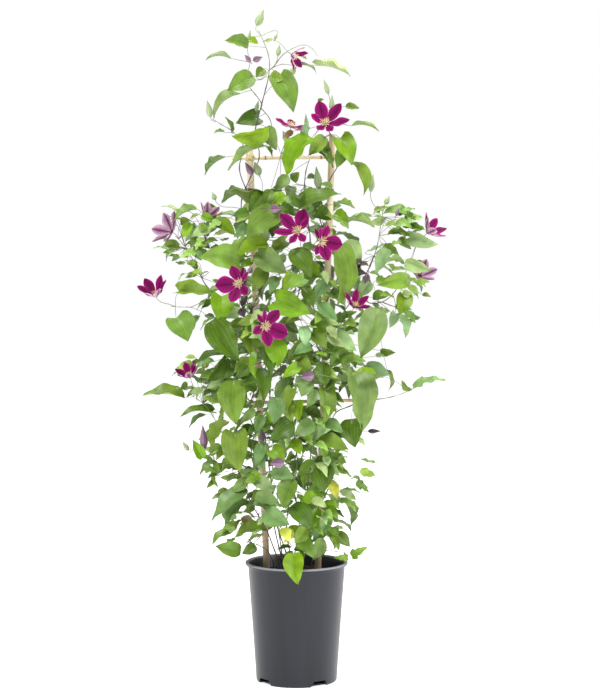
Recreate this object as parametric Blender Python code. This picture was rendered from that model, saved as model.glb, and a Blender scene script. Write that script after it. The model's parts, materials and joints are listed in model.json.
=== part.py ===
"""A clematis in flower in its nursery pot, tied to a ladder of bamboo canes.

The plant is built as it grows. Woody stems stand in holes in the soil, twine round the two
canes or climb between them, and carry leaf stalks, leaves, buds and flowers. Hand-measured
places are in millimetres, as they are seen from the front at eye height: across from the
pot's axis (positive to the right), height above the ground, and depth (negative is nearer).
Everything handed to Blender is in metres, with the ground at zero and the front facing -Y.
"""

import bisect
import math
import random

import bpy
from mathutils import Quaternion, Vector
from mathutils.bvhtree import BVHTree
from mathutils.geometry import interpolate_bezier

for leftover in list(bpy.data.objects):
    bpy.data.objects.remove(leftover)

MM = 0.001

# The place that the hand-measured positions are seen from
EYE_DISTANCE = 3400
EYE_HEIGHT = 790

# Pot, a tall container moulded in one piece
POT_HEIGHT = 224
POT_RIM_RADIUS = 95
POT_NECK_RADIUS = 88
POT_BASE_RADIUS = 75
POT_WALL = 2.0
POT_LIP_HEIGHT = 10
POT_FLOOR = 3
POT_SIDES = 32
NOTCH_WIDTH = 26
NOTCH_HEIGHT = 8
NOTCH_DEPTH = 12
NOTCH_ANGLES = (-143, -55, 37, 125)

# Gaps that touching pieces keep
SEAT_GAP = 0.3
LEAF_GAP = 0.6

# Soil
SOIL_TOP = 199
SOIL_SIDES = 32

# Canes and rungs: lower end and upper end, across and height
CANE_RADIUS = 6.2
CANES = {"left": ((-47.7, 12), (-87.0, 1005)), "right": ((33.0, 12), (65.3, 1005))}
RUNG_RADIUS = 3.5
RUNGS = {"top": ((-118, 963.5), (86, 966)), "low": ((-104, 513), (104, 518))}
RUNG_DEPTH = CANE_RADIUS + RUNG_RADIUS + SEAT_GAP
TIE_RADIUS = 0.9

# Stems
STEM_RADIUS = 2.0
STEM_TIP_RADIUS = 1.4
BRANCH_RADIUS = 1.25
BRANCH_TIP_RADIUS = 1.125
STALK_RADIUS = 0.75
BLOOM_STALK_RADIUS = 1.0
STEM_SIDES = 4
TWINE_RADIUS = 20
TWINE_HEIGHT = 515.5
TWINE_PITCH = 224.4

# Blades
BLADE_THICKNESS = 0.8
BLADE_ARCH = 0.05
BLADE_FOLD = 0.16
# How far the fold is sunk, as a share of half the width, and the flat share at the root
FOLD_SUNK = 0.3
ROOT_SHARE = 1 / 6
SMALLEST_LEAF = 33
LARGE_LEAF = 72
LEAST_WIDTH = 0.50
# The way that leaves turn their faces, forwards and a little up
LEAF_FRONT = Vector((0, -1, 0.35))

# Stalks, stems and buds
STEM_DEPTH = 30
STEM_SPACING = 38
# A branch that starts this near to a node of its stem starts from the node itself
NEAR_ROOT = 12
BRANCH_SIDES = 4
SHORTEST_STALK = 9
LONGEST_STALK = 150
ROOTS_TRIED = 5
BUD_SHAPE = ((0.08, 0.75), (0.45, 1.0), (1.0, 0.12))
STALK_SIDES = 3
STALK_NECK = 6
STALK_STUB = 4
STALK_FLAT = 0.6

# Flowers
FLOWER_DISC = 4.0
TEPAL_WIDTH = 0.24
TEPAL_ARCH = -0.05
TEPAL_FOLD = 0.10
STAMEN_POINTS = 10
STAMEN_SPREAD = 7.5
STAMEN_HEIGHT = 8.5
STAMEN_FOOT = 2.4
# Flowers with tepals raised more than this, in degrees, keep their stamens narrower
NARROW_CUP = 35
NARROW_SHARE = 0.6

# Canes, ties and soil detail
CANE_SIDES = 8
CANE_JOINTS = 4
RUNG_JOINTS = 2
JOINT_HALF = 3
JOINT_SWELL = 0.5
TIE_GAP = 0.4
TIE_REACH = 12
TIE_STEPS = 10
TIE_SIDES = 3
SOIL_RELIEF = 1.0

GOLDEN = 0.6180339887
# Shifts in depth that a leaf may take to find a clear place
BUD_ROOMS = (0, -8, 8, -16, 16, -26, 26)
ROOMS = (0, -7, 7, -14, 14, -22, 22, -30, 30, 40, -40, 52, 66)

# Shoots. Each stands in its own hole in the soil, then twines round a cane or climbs free.
# hole: across, depth. cane, turn: the cane and the angle at which the stem passes the low rung.
# reach: how high it twines. way: the rest of its route. side: its side branches.
SHOOTS = {
    "crown": dict(
        hole=(-22, -14), cane="left", turn=330, start=291, reach=965,
        way=((-75, 1016, -14), (-71, 1033, -12), (-63, 1064, -8), (-56, 1090, -6), (-51, 1112, -4),
             (-49, 1134, -2), (-52, 1154, 0), (-60, 1175, 0), (-69, 1195, 2)),
        side=(((-63, 1060, -8), (-75, 1079, -14), (-87, 1094, -16), (-91, 1108, -16), (-86, 1130, -14),
               (-86, 1145, -12)),
              ((-56, 1081, -6), (-47, 1092, -14), (-38, 1099, -20)),
              ((-51, 1116, -4), (-41, 1130, -6), (-34, 1140, -6), (-25, 1151, -6), (-8, 1162, 0),
               (14, 1169, 6), (29, 1162, 8), (38, 1149, 8)),
              ((-43, 1129, -6), (-27, 1134, 0), (-8, 1132, 4), (8, 1132, 6)),
              ((-51, 1114, -4), (-63, 1106, -8), (-75, 1105, -12), (-86, 1103, -14)),
              ((-62, 1057, -8), (-49, 1035, -2), (-41, 1002, 2), (-32, 980, 0), (-25, 961, -4)))),
    "left_top": dict(
        hole=(-8, -20), cane="left", turn=210, start=347, reach=985,
        way=((-108, 1003, -14), (-122, 1016, -12), (-137, 1024, -10), (-154, 1035, -10)),
        side=(((-96, 988, -18), (-84, 1003, -28), (-63, 1014, -30), (-45, 1018, -24)),)),
    "left_wing": dict(
        hole=(-24, 10), cane="",
        way=((-32, 270, 28), (-46, 360, 38), (-60, 470, 42), (-70, 560, 40), (-82, 625, 30),
             (-106, 668, 16), (-137, 704, 6), (-165, 729, 2), (-181, 759, -2), (-196, 788, -4),
             (-211, 810, -6), (-222, 821, -6)),
        side=(((-150, 706, 4), (-190, 692, -4), (-214, 691, -8), (-231, 692, -10)),
              ((-190, 773, -4), (-174, 803, -6), (-159, 829, -8), (-148, 847, -8)))),
    "left_low": dict(
        hole=(-26, -28), cane="",
        way=((-56, 280, -34), (-82, 326, -38), (-104, 380, -38), (-124, 431, -34), (-144, 472, -28),
             (-163, 503, -20), (-181, 520, -14), (-198, 531, -12)),
        side=(((-126, 435, -34), (-144, 424, -30), (-167, 413, -26), (-185, 424, -20), (-198, 429, -12)),
              ((-108, 387, -38), (-130, 387, -32), (-152, 376, -26)))),
    "right_top": dict(
        hole=(8, -12), cane="right", turn=330, start=441, reach=985,
        way=((56, 1020, -16), (62, 1038, -10), (63, 1057, -8)),
        side=(((60, 1030, -12), (76, 1027, -4), (91, 1024, 0)),)),
    "right_wing": dict(
        hole=(14, 4), cane="right", turn=210, start=273, reach=640,
        way=((80, 670, -10), (102, 704, 0), (117, 733, 2), (135, 766, 0), (148, 803, -2), (154, 840, 0),
             (159, 869, 2)),
        side=(((106, 709, 0), (135, 698, 0), (165, 704, -4), (187, 729, -6), (205, 766, -6),
               (216, 796, -2), (224, 814, 0)),)),
    "right_low": dict(
        hole=(6, 22), cane="right", turn=90, start=329, reach=480,
        way=((73, 497, 12), (98, 508, 8), (124, 520, 2), (150, 521, 0), (174, 525, 0), (196, 532, 0),
             (213, 540, -2)),
        side=()),
    "front": dict(
        hole=(-4, -34), cane="",
        way=((-19, 280, -44), (-12, 336, -50), (1, 400, -54), (-6, 464, -52), (-23, 529, -50),
             (-30, 589, -50), (-23, 648, -50), (-8, 704, -48), (6, 755, -46), (17, 792, -44)),
        side=()),
    "back": dict(
        hole=(-8, 30), cane="",
        way=((5, 299, 44), (-8, 372, 48), (6, 446, 50), (25, 520, 50), (10, 593, 48), (-5, 667, 46),
             (10, 740, 46), (25, 814, 44), (14, 888, 40), (17, 939, 36), (27, 976, 32), (20, 1010, 30)),
        side=()),
    "skirt_left": dict(
        hole=(-40, -14), cane="",
        way=((-52, 238, -26), (-70, 250, -34), (-89, 256, -40), (-104, 255, -42)), side=()),
    "skirt_right": dict(
        hole=(24, -22), cane="",
        way=((36, 234, -26), (55, 240, -28), (76, 238, -26), (98, 236, -26)), side=()),
}

# Flowers: place of the centre (across, height, depth), way it faces, turn of its first tepal in
# degrees, span, number of tepals, and how far the tepals are raised into a cup in degrees
FLOWERS = {
    "flower_top_right": ((53, 1025, -34), (-0.05, -0.85, 0.50), 107, 92, 6, 26),
    "flower_crown": ((-8, 1151, -24), (0.75, -0.30, -0.45), 60, 64, 5, 40),
    "flower_top_middle": ((-10, 1020, -26), (0.25, -0.30, 0.90), 20, 66, 5, 14),
    "flower_middle_left": ((3, 829, -66), (-0.12, -0.88, 0.40), 72, 90, 6, 24),
    "flower_middle_right": ((45, 812, -102), (0.25, -0.92, -0.18), 75, 80, 6, 22),
    "flower_left": ((-104, 734, -92), (-0.30, -0.92, 0.10), 112, 86, 6, 24),
    "flower_centre": ((-58, 657, -104), (0.28, -0.94, -0.08), 52, 86, 6, 22),
    "flower_far_left": ((-258, 711, -14), (-0.25, -0.50, 0.80), 60, 84, 6, 46),
    "flower_wing_left": ((-229, 829, -22), (-0.60, 0.35, 0.35), 30, 82, 6, 30),
    "flower_wing_left_back": ((-163, 856, -6), (0.30, 0.25, 0.80), 15, 64, 6, 46),
    "flower_wing_right": ((240, 827, -10), (0.60, -0.35, 0.60), 80, 76, 6, 46),
    "flower_wing_right_back": ((227, 748, -4), (0.35, 0.62, 0.60), 40, 70, 6, 34),
    "flower_right": ((106, 691, -62), (0.30, -0.60, 0.65), 95, 68, 6, 42),
    "flower_low_left": ((-196, 562, -22), (-0.30, -0.40, 0.80), 100, 64, 6, 46),
}

# Leaves seen from the front: base (across, height, depth), tip (across, height, depth) and width
# as seen
LEAVES = (
    (-45, 1179, 5, -60, 1174, 0, 8),
    (-90, 1174, -10, -128, 1182, -22, 17),
    (-74, 1169, 0, -88, 1179, -8, 10),
    (-2, 1150, -14, 19, 1144, -20, 10),
    (41, 1143, 8, 98, 1122, -4, 16),
    (-119, 1142, -10, -165, 1146, -22, 13),
    (11, 1132, 6, 38, 1119, 0, 7),
    (8, 1132, 4, -11, 1139, 0, 8),
    (-58, 1120, -8, -76, 1132, -16, 17),
    (-79, 1113, -22, -126, 1087, -34, 37),
    (-25, 1102, -24, -7, 1049, -38, 42),
    (-102, 1079, -12, -154, 1043, -30, 22),
    (39, 1067, -14, 50, 1071, -18, 7),
    (90, 1058, -2, 115, 1055, -8, 13),
    (-74, 1030, 4, -109, 1033, -10, 21),
    (100, 1022, 0, 151, 1017, -10, 11),
    (-59, 1019, -26, -114, 1008, -44, 17),
    (-57, 1019, -20, -45, 978, -32, 26),
    (-119, 1010, -6, -130, 1039, -14, 9),
    (-131, 1010, -8, -152, 1010, -14, 7),
    (11, 1005, -16, 25, 1020, -24, 12),
    (88, 999, -26, 74, 947, -40, 34),
    (25, 998, -48, -23, 933, -62, 37),
    (33, 995, -20, 56, 978, -30, 20),
    (-58, 992, -40, -128, 953, -56, 28),
    (-58, 985, 10, -43, 968, 4, 8),
    (45, 977, -34, 69, 947, -44, 13),
    (-131, 965, -10, -170, 936, -24, 14),
    (99, 955, -20, 128, 896, -38, 24),
    (-15, 931, 10, -42, 905, 0, 23),
    (20, 929, 12, 37, 927, 4, 11),
    (-6, 921, 24, 5, 938, 18, 17),
    (65, 908, -8, 43, 916, -14, 12),
    (-44, 908, 10, -3, 910, 2, 10),
    (20, 908, 14, 33, 896, 6, 14),
    (-47, 906, -30, -62, 871, -42, 23),
    (-27, 904, -8, -119, 899, -24, 16),
    (-19, 895, -44, -49, 872, -56, 23),
    (-17, 895, -20, 13, 872, -34, 23),
    (-27, 880, -14, 0, 859, -26, 22),
    (-177, 876, -6, -224, 859, -20, 21),
    (5, 872, -46, 80, 901, -62, 35),
    (-167, 871, 4, -147, 874, 0, 14),
    (30, 867, -16, 64, 850, -28, 28),
    (-92, 867, -16, -117, 859, -24, 16),
    (70, 863, 6, 97, 850, -6, 25),
    (-145, 859, -10, -98, 850, -22, 14),
    (163, 859, 6, 219, 850, -8, 19),
    (137, 857, 0, 90, 844, -10, 10),
    (-47, 856, -56, -89, 822, -70, 39),
    (161, 856, 4, 133, 846, -4, 16),
    (-152, 846, -14, -113, 825, -26, 23),
    (-212, 844, -6, -194, 850, -12, 15),
    (-87, 842, -34, -115, 820, -44, 23),
    (-179, 841, -10, -158, 833, -16, 12),
    (195, 839, -10, 231, 835, -18, 17),
    (-182, 829, 6, -160, 822, 0, 17),
    (167, 824, -8, 210, 818, -18, 17),
    (210, 822, -4, 259, 803, -16, 21),
    (-182, 818, 0, -194, 799, -8, 14),
    (-175, 811, 6, -158, 799, 0, 14),
    (84, 805, -20, 118, 773, -34, 35),
    (171, 805, -10, 137, 775, -22, 27),
    (-59, 803, -46, -107, 788, -58, 27),
    (159, 803, 8, 189, 786, 0, 17),
    (-10, 796, -62, 28, 745, -76, 39),
    (73, 794, -36, 69, 741, -52, 31),
    (-186, 792, -6, -174, 776, -12, 15),
    (-66, 788, -56, -23, 758, -70, 35),
    (-216, 786, 0, -229, 775, -6, 10),
    (-194, 777, 4, -182, 754, -2, 12),
    (-111, 773, -46, -176, 785, -62, 38),
    (199, 771, -10, 242, 758, -20, 20),
    (26, 767, -30, 41, 747, -36, 18),
    (-59, 762, -36, -81, 720, -48, 29),
    (64, 754, -60, 77, 692, -78, 42),
    (210, 745, -12, 150, 730, -28, 23),
    (129, 735, -10, 107, 711, -20, 23),
    (28, 720, -20, 64, 724, -28, 17),
    (-214, 715, -14, -152, 717, -26, 29),
    (199, 711, -8, 189, 677, -18, 29),
    (-137, 711, -44, -141, 662, -60, 41),
    (140, 709, 0, 169, 711, -8, 19),
    (-147, 702, 4, -175, 688, -4, 14),
    (-38, 702, -66, 26, 679, -82, 42),
    (148, 688, -30, 118, 597, -54, 50),
    (182, 679, 8, 171, 653, 0, 19),
    (189, 677, -2, 201, 635, -14, 20),
    (-219, 675, -10, -199, 630, -24, 44),
    (-179, 673, 6, -194, 643, -2, 17),
    (-28, 668, -44, 5, 643, -56, 23),
    (30, 668, -52, 64, 643, -64, 27),
    (-156, 666, -60, -105, 593, -80, 50),
    (-81, 660, -66, -60, 602, -82, 33),
    (20, 651, -40, 7, 619, -52, 23),
    (95, 645, -16, 125, 660, -22, 12),
    (65, 638, -42, 110, 610, -58, 27),
    (-44, 632, -78, -34, 580, -92, 38),
    (33, 630, -26, 60, 636, -34, 17),
    (17, 623, -60, -19, 591, -74, 27),
    (-68, 617, -90, -44, 560, -104, 23),
    (154, 610, 0, 182, 607, -8, 11),
    (94, 610, -46, 62, 580, -60, 31),
    (97, 606, -14, 109, 578, -24, 16),
    (-130, 604, -18, -191, 588, -36, 20),
    (-130, 601, -40, -164, 553, -54, 20),
    (2, 593, -72, 26, 565, -84, 34),
    (-151, 591, 0, -188, 577, -12, 15),
    (49, 587, -62, 55, 545, -76, 29),
    (131, 574, -8, 171, 566, -22, 30),
    (-65, 571, -84, -59, 516, -98, 37),
    (167, 571, 0, 172, 536, -8, 8),
    (118, 563, -34, 131, 461, -62, 53),
    (-137, 556, -24, -165, 539, -34, 16),
    (-116, 556, -62, -111, 475, -84, 48),
    (-12, 556, -70, -35, 509, -84, 29),
    (26, 553, -80, 9, 526, -92, 27),
    (102, 550, -30, 76, 533, -40, 10),
    (-103, 542, -36, -92, 512, -46, 18),
    (218, 542, -6, 276, 557, -20, 18),
    (50, 541, -64, 53, 476, -82, 30),
    (212, 537, -2, 194, 556, -10, 8),
    (-183, 537, 0, -203, 526, -8, 11),
    (-207, 527, -4, -282, 536, -16, 24),
    (-37, 525, -88, -42, 475, -102, 29),
    (-18, 520, -76, -7, 479, -90, 24),
    (-56, 498, -84, -46, 476, -90, 11),
    (-156, 496, -8, -214, 495, -26, 19),
    (-167, 493, 4, -200, 471, -8, 13),
    (-7, 480, -84, -50, 446, -100, 35),
    (30, 480, -72, -4, 452, -86, 29),
    (-126, 480, -42, -160, 430, -60, 25),
    (102, 476, -50, 109, 423, -68, 42),
    (55, 471, -36, 90, 452, -52, 23),
    (-113, 458, -66, -105, 386, -86, 46),
    (-8, 446, -70, 7, 419, -80, 22),
    (39, 442, -62, 96, 428, -80, 29),
    (-137, 430, -36, -148, 409, -44, 13),
    (-46, 427, -88, -23, 406, -100, 27),
    (-65, 427, -56, -81, 388, -68, 23),
    (-173, 412, -30, -191, 446, -42, 20),
    (-148, 406, -20, -179, 382, -30, 13),
    (36, 404, -72, 50, 347, -90, 45),
    (-151, 403, -30, -144, 385, -36, 10),
    (61, 392, -30, 102, 379, -46, 16),
    (-46, 385, -80, -4, 376, -94, 30),
    (-115, 384, -30, -141, 377, -38, 10),
    (-146, 379, -16, -165, 374, -22, 8),
    (-151, 379, -20, -144, 357, -26, 6),
    (-75, 377, -60, -96, 369, -68, 15),
    (-110, 374, -24, -130, 368, -32, 6),
    (-8, 373, -92, -24, 319, -108, 34),
    (60, 369, -34, 76, 335, -44, 20),
    (-154, 369, -12, -166, 357, -18, 9),
    (-91, 360, -56, -157, 302, -80, 35),
    (80, 350, -14, 117, 350, -26, 10),
    (-45, 344, -72, -81, 324, -84, 29),
    (14, 344, -80, 45, 331, -92, 23),
    (79, 336, -8, 115, 322, -20, 10),
    (-88, 331, -40, -135, 288, -60, 26),
    (52, 328, -40, 79, 320, -50, 15),
    (-8, 325, -88, 30, 278, -104, 35),
    (39, 319, -62, 31, 279, -74, 21),
    (-59, 312, -82, -13, 290, -98, 35),
    (47, 303, -26, 80, 297, -38, 15),
    (-102, 297, -20, -113, 279, -28, 8),
    (52, 284, -46, 30, 255, -58, 23),
    (-8, 282, -62, -24, 257, -72, 16),
    (64, 282, -30, 79, 241, -46, 24),
    (-56, 278, -56, -116, 267, -74, 24),
    (-12, 274, -70, 19, 271, -80, 23),
    (7, 260, -62, 31, 227, -76, 26),
    (50, 255, -36, 46, 227, -46, 14),
    (-75, 246, -48, -101, 236, -58, 18),
    (-103, 241, -44, -149, 252, -58, 27),
    (102, 230, -26, 131, 247, -38, 20),
    (-5, 228, -84, 3, 178, -112, 39),
    (95, 227, -28, 69, 227, -38, 15),
)

# Buds: base (across, height, depth), tip (across, height, depth) and width
BUDS = (
    (-72, 1205, 4, -60, 1232, 2, 13),
    (-88, 1175, 2, -84, 1196, 0, 6),
    (-36, 1187, 6, -42, 1174, 4, 5),
    (-34, 1150, -6, -31, 1170, -8, 8),
    (-85, 1139, -14, -94, 1150, -16, 8),
    (-78, 1141, -16, -62, 1147, -18, 10),
    (-11, 1116, 2, 0, 1130, 0, 10),
    (-157, 1039, -10, -163, 1068, -12, 11),
    (-74, 1049, 6, -69, 1067, 4, 7),
    (58, 1081, -10, 50, 1106, -12, 8),
    (64, 1051, -14, 65, 1078, -16, 9),
    (-16, 994, 4, -25, 1013, 2, 11),
    (18, 1022, -8, 17, 1044, -10, 6),
    (-68, 933, -16, -77, 957, -18, 13),
    (-81, 934, -22, -94, 956, -24, 11),
    (41, 908, -14, 36, 948, -16, 13),
    (136, 903, 6, 140, 934, 4, 10),
    (-149, 888, -4, -154, 901, -6, 8),
    (163, 880, 0, 170, 894, -2, 9),
    (182, 859, -4, 186, 872, -6, 6),
    (131, 750, -16, 126, 734, -18, 10),
    (114, 769, -22, 101, 758, -24, 23),
    (-47, 871, -74, -28, 871, -76, 15),
    (-87, 754, -60, -81, 765, -62, 9),
    (-102, 687, -70, -96, 672, -72, 15),
    (20, 572, -90, 7, 561, -92, 23),
    (-170, 430, -30, -173, 473, -32, 13),
    (-200, 427, -10, -210, 442, -12, 8),
    (-27, 404, -104, -45, 402, -106, 19),
    (129, 442, -10, 139, 465, -12, 8),
    (-62, 446, -70, -65, 468, -72, 10),
)

# Small leaves that fill the back and the inside, placed by a rule
FILL_SEED = 11
BACK_LEAVES = 60
INNER_LEAVES = 14
FILL_LOW = 262
FILL_HIGH = 985
FILL_WIDTH = 0.62
FILL_TURN = 250
FILL_LIFTS = (0, 14, -14, 28)
# Half width of the leafy column at a few heights, and its half depth
COLUMN = ((230, 85), (300, 120), (420, 140), (600, 145), (780, 150), (900, 135), (1000, 90))
COLUMN_DEPTH = 118


def seen(across, height, depth):
    """The point at this depth that the eye sees at this place on the plane through the pot's axis."""
    nearer = 1 + depth / EYE_DISTANCE
    return Vector((across * nearer, depth, EYE_HEIGHT + (height - EYE_HEIGHT) * nearer))


def material(name, colour, roughness, metallic=0.0):
    """A plain Principled material. The colour is linear red, green and blue."""
    made = bpy.data.materials.new(name)
    made.use_nodes = True
    shader = made.node_tree.nodes["Principled BSDF"]
    shader.inputs["Base Color"].default_value = (*colour, 1.0)
    shader.inputs["Roughness"].default_value = roughness
    shader.inputs["Metallic"].default_value = metallic
    made.diffuse_color = (*colour, 1.0)
    return made


def solid(name, points, faces, look=None):
    """A mesh object from points in millimetres."""
    mesh = bpy.data.meshes.new(name)
    mesh.from_pydata([tuple(p * MM for p in point) for point in points], [], faces)
    mesh.update()
    made = bpy.data.objects.new(name, mesh)
    bpy.context.scene.collection.objects.link(made)
    if look:
        mesh.materials.append(look)
    return made


def shade(thing, angle=35):
    thing.data.shade_smooth()
    thing.data.set_sharp_from_angle(angle=math.radians(angle))


def apply_boolean(target, operation, cutters, solver="EXACT"):
    """Joins or cuts target with all the cutters at once, applies it, and removes the cutters."""
    group = bpy.data.collections.new(target.name + "_cutters")
    bpy.context.scene.collection.children.link(group)
    for cutter in cutters:
        bpy.context.scene.collection.objects.unlink(cutter)
        group.objects.link(cutter)
        cutter.hide_render = True
        cutter.display_type = "WIRE"
    modifier = target.modifiers.new(operation.lower(), "BOOLEAN")
    modifier.operation = operation
    modifier.operand_type = "COLLECTION"
    modifier.collection = group
    modifier.solver = solver
    bpy.context.view_layer.update()
    graph = bpy.context.evaluated_depsgraph_get()
    result = bpy.data.meshes.new_from_object(target.evaluated_get(graph))
    target.modifiers.clear()
    target.data = result
    for cutter in list(group.objects):
        bpy.data.objects.remove(cutter)
    bpy.data.collections.remove(group)


def turned(profile, sides, start=0.0):
    """Points and faces of a closed profile of (radius, height) turned about the upright axis."""
    points = []
    rings = []
    for radius, height in profile:
        if radius == 0:
            rings.append([len(points)] * sides)
            points.append(Vector((0, 0, height)))
            continue
        rings.append(list(range(len(points), len(points) + sides)))
        for step in range(sides):
            angle = start + math.tau * step / sides
            points.append(Vector((radius * math.cos(angle), radius * math.sin(angle), height)))
    faces = []
    for low, high in zip(rings, rings[1:]):
        for step in range(sides):
            after = (step + 1) % sides
            corners = [low[step], low[after], high[after], high[step]]
            face = list(dict.fromkeys(corners))
            if len(face) > 2:
                faces.append(face)
    return points, faces


def smooth(points, spacing):
    """A centripetal-like curve through the points, read at about the given spacing."""
    ends = [points[0] * 2 - points[1], *points, points[-1] * 2 - points[-2]]
    read = [points[0]]
    for before, start, end, after in zip(ends, ends[1:], ends[2:], ends[3:]):
        pieces = max(1, round((end - start).length / spacing))
        reach = (end - start).length / 3
        leave = (end - before).normalized() * reach
        arrive = (after - start).normalized() * reach
        read.extend(interpolate_bezier(start, start + leave, end - arrive, end, pieces + 1)[1:])
    return read


def tube(points, radii, sides):
    """A closed tube through the points, with a radius at each."""
    tangents = [(b - a).normalized() for a, b in zip(points, points[1:])]
    tangents = [tangents[0], *((a + b).normalized() for a, b in zip(tangents, tangents[1:])), tangents[-1]]
    across = tangents[0].orthogonal().normalized()
    made = []
    for index, (point, tangent, radius) in enumerate(zip(points, tangents, radii)):
        if index:
            across = tangents[index - 1].rotation_difference(tangent) @ across
        across = (across - tangent * across.dot(tangent)).normalized()
        other = tangent.cross(across)
        for step in range(sides):
            angle = math.tau * step / sides
            made.append(point + (across * math.cos(angle) + other * math.sin(angle)) * radius)
    faces = [list(range(sides))[::-1]]
    for ring in range(len(points) - 1):
        low, high = ring * sides, (ring + 1) * sides
        for step in range(sides):
            after = (step + 1) % sides
            faces.append([low + step, low + after, high + after, high + step])
    faces.append(list(range(high, high + sides)))
    return made, faces


# What has been placed so far: box corners, search tree, owner, and the root of a stalk
PLACED = []


def box_of(points):
    columns = list(zip(*points))
    return [min(c) for c in columns], [max(c) for c in columns]


def remember(points, faces, owner, root=None):
    low, high = box_of(points)
    PLACED.append((low, high, BVHTree.FromPolygons(points, faces), owner, root))


def remember_made(thing):
    """Remembers a finished object."""
    points = [vertex.co / MM for vertex in thing.data.vertices]
    remember(points, [list(face.vertices) for face in thing.data.polygons], thing.name)


def blocker(points, faces, owner="", root=None):
    """What the shape crosses, apart from its own stem and the stalks of its own root, or None."""
    low, high = box_of(points)
    tree = None
    for other_low, other_high, other, other_owner, other_root in PLACED:
        if other_owner == owner and other_root in ("stem", root):
            continue
        if any(low[i] > other_high[i] or high[i] < other_low[i] for i in range(3)):
            continue
        tree = tree or BVHTree.FromPolygons(points, faces)
        if tree.overlap(other):
            return other_owner
    return None


def cane_at(name, height):
    """The middle of a cane at a height."""
    (low_across, low), (high_across, high) = CANES[name]
    share = (height - low) / (high - low)
    return Vector((low_across + (high_across - low_across) * share, 0, height))


# Outline of half a blade as (share of length, share of half width), and its midrib points
LARGE_EDGE = ((-0.04, 0.52), (0.26, 1.0), (0.68, 0.62))
LARGE_RIB = (0.24, 0.62)
SMALL_EDGE = ((0.06, 0.66), (0.50, 0.94))
SMALL_RIB = (0.42,)
TEPAL_EDGE = ((0.30, 0.58), (0.66, 0.96))
TEPAL_RIB = (0.48,)
# Corners of one half of the face: b base, r edge points, m midrib points, t tip
LARGE_HALF = ("b", "r0", "m0"), ("r0", "r1", "m0"), ("r1", "m1", "m0"), ("r1", "r2", "m1"), ("r2", "t", "m1")
SMALL_HALF = ("b", "r0", "m0"), ("r0", "r1", "m0"), ("r1", "t", "m0")


def blade(base, tip, facing, width, edge, rib, swell=0.0, arch=BLADE_ARCH, fold=BLADE_FOLD):
    """Named points of a blade, with the ways to its side and out of its upper face.

    Names are side (l, r or middle m), corner number and face (u upper, d lower). swell grows
    the blade on all sides."""
    length = (tip - base).length
    along = (tip - base) / length
    normal = (facing - along * facing.dot(along)).normalized()
    side = along.cross(normal)
    half = width / 2
    thick = BLADE_THICKNESS / 2 + swell

    def at(share, out, face):
        rise = arch * length * 4 * share * (1 - share) + fold * (abs(out) - half * FOLD_SUNK)
        rise *= min(1.0, abs(share) / ROOT_SHARE)
        return base + along * (share * length) + side * out + normal * (rise + face * thick)

    named = {}
    for face, mark in ((1, "u"), (-1, "d")):
        for index, (share, out) in enumerate(edge):
            reach = out * half + swell
            named["r%d%s" % (index, mark)] = at(share, reach, face)
            named["l%d%s" % (index, mark)] = at(share, -reach, face)
        for index, share in enumerate(rib):
            named["m%d%s" % (index, mark)] = at(share, 0, face)
        named["t" + mark] = at(1 + swell / length, 0, face)
    return named, side, normal


def half_name(corner, side):
    return corner.replace("r", side) if corner[0] == "r" else corner


def blade_faces(edge, half_faces, base_names):
    """Triangles by point name. base_names gives the base corner for each side and face."""
    faces = []
    for side in "rl":
        for triangle in half_faces:
            for mark in "ud":
                corners = []
                for corner in triangle:
                    known = base_names[side + mark] if corner == "b" else half_name(corner, side) + mark
                    corners.append(known)
                if (side == "l") != (mark == "d"):
                    corners.reverse()
                faces.append(corners)
        chain = ["b", *("r%d" % i for i in range(len(edge))), "t"]
        for near, far in zip(chain, chain[1:]):
            names = {}
            for mark in "ud":
                root = near == "b"
                names["near" + mark] = base_names[side + mark] if root else half_name(near, side) + mark
                names["far" + mark] = half_name(far, side) + mark
            quad = [names["faru"], names["nearu"], names["neard"], names["fard"]]
            if side == "l":
                quad.reverse()
            faces.append([quad[0], quad[1], quad[2]])
            faces.append([quad[0], quad[2], quad[3]])
    return faces


def leaf(path, tip, facing, width, large, swell=0.0):
    """A blade on its three-sided stalk, as one closed shape of blade faces and stalk faces.

    path runs from the stem to the blade."""
    edge, rib, half_faces = (
        (LARGE_EDGE, LARGE_RIB, LARGE_HALF) if large else (SMALL_EDGE, SMALL_RIB, SMALL_HALF)
    )
    base = path[-1]
    named, side, normal = blade(base, tip, facing, width, edge, rib, swell)
    radius = STALK_RADIUS + swell
    tangents = [(b - a).normalized() for a, b in zip(path, path[1:])]
    along = (tip - base).normalized()
    tangents.append(along)
    rings = []
    for index in range(len(path) - 1, -1, -1):
        tangent = along if index == len(path) - 1 else tangents[index]
        if index < len(path) - 1:
            turn = previous.rotation_difference(tangent)
            side = turn @ side
            normal = turn @ normal
        previous = tangent
        rings.append((
            path[index] - side * radius + normal * radius * STALK_FLAT,
            path[index] + side * radius + normal * radius * STALK_FLAT,
            path[index] - normal * radius,
        ))
    rings.reverse()
    keys = list(named)
    points = [named[key] for key in keys]
    place = {key: index for index, key in enumerate(keys)}
    for ring in rings:
        points.extend(ring)
    first = len(keys)
    last = first + 3 * (len(rings) - 1)
    place.update(bl=last, br=last + 1, bd=last + 2)
    base_names = {"ru": "br", "lu": "bl", "rd": "bd", "ld": "bd"}
    faces = [[place[name] for name in face] for face in blade_faces(edge, half_faces, base_names)]
    faces.append([place["bl"], place["br"], place["m0u"]])
    stalk_faces = []
    for ring in range(len(rings) - 1):
        low = first + 3 * ring
        for step in range(3):
            after = (step + 1) % 3
            stalk_faces.append([low + 3 + after, low + 3 + step, low + step, low + after])
    stalk_faces.append([first, first + 2, first + 1])
    return points, faces, stalk_faces


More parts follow.
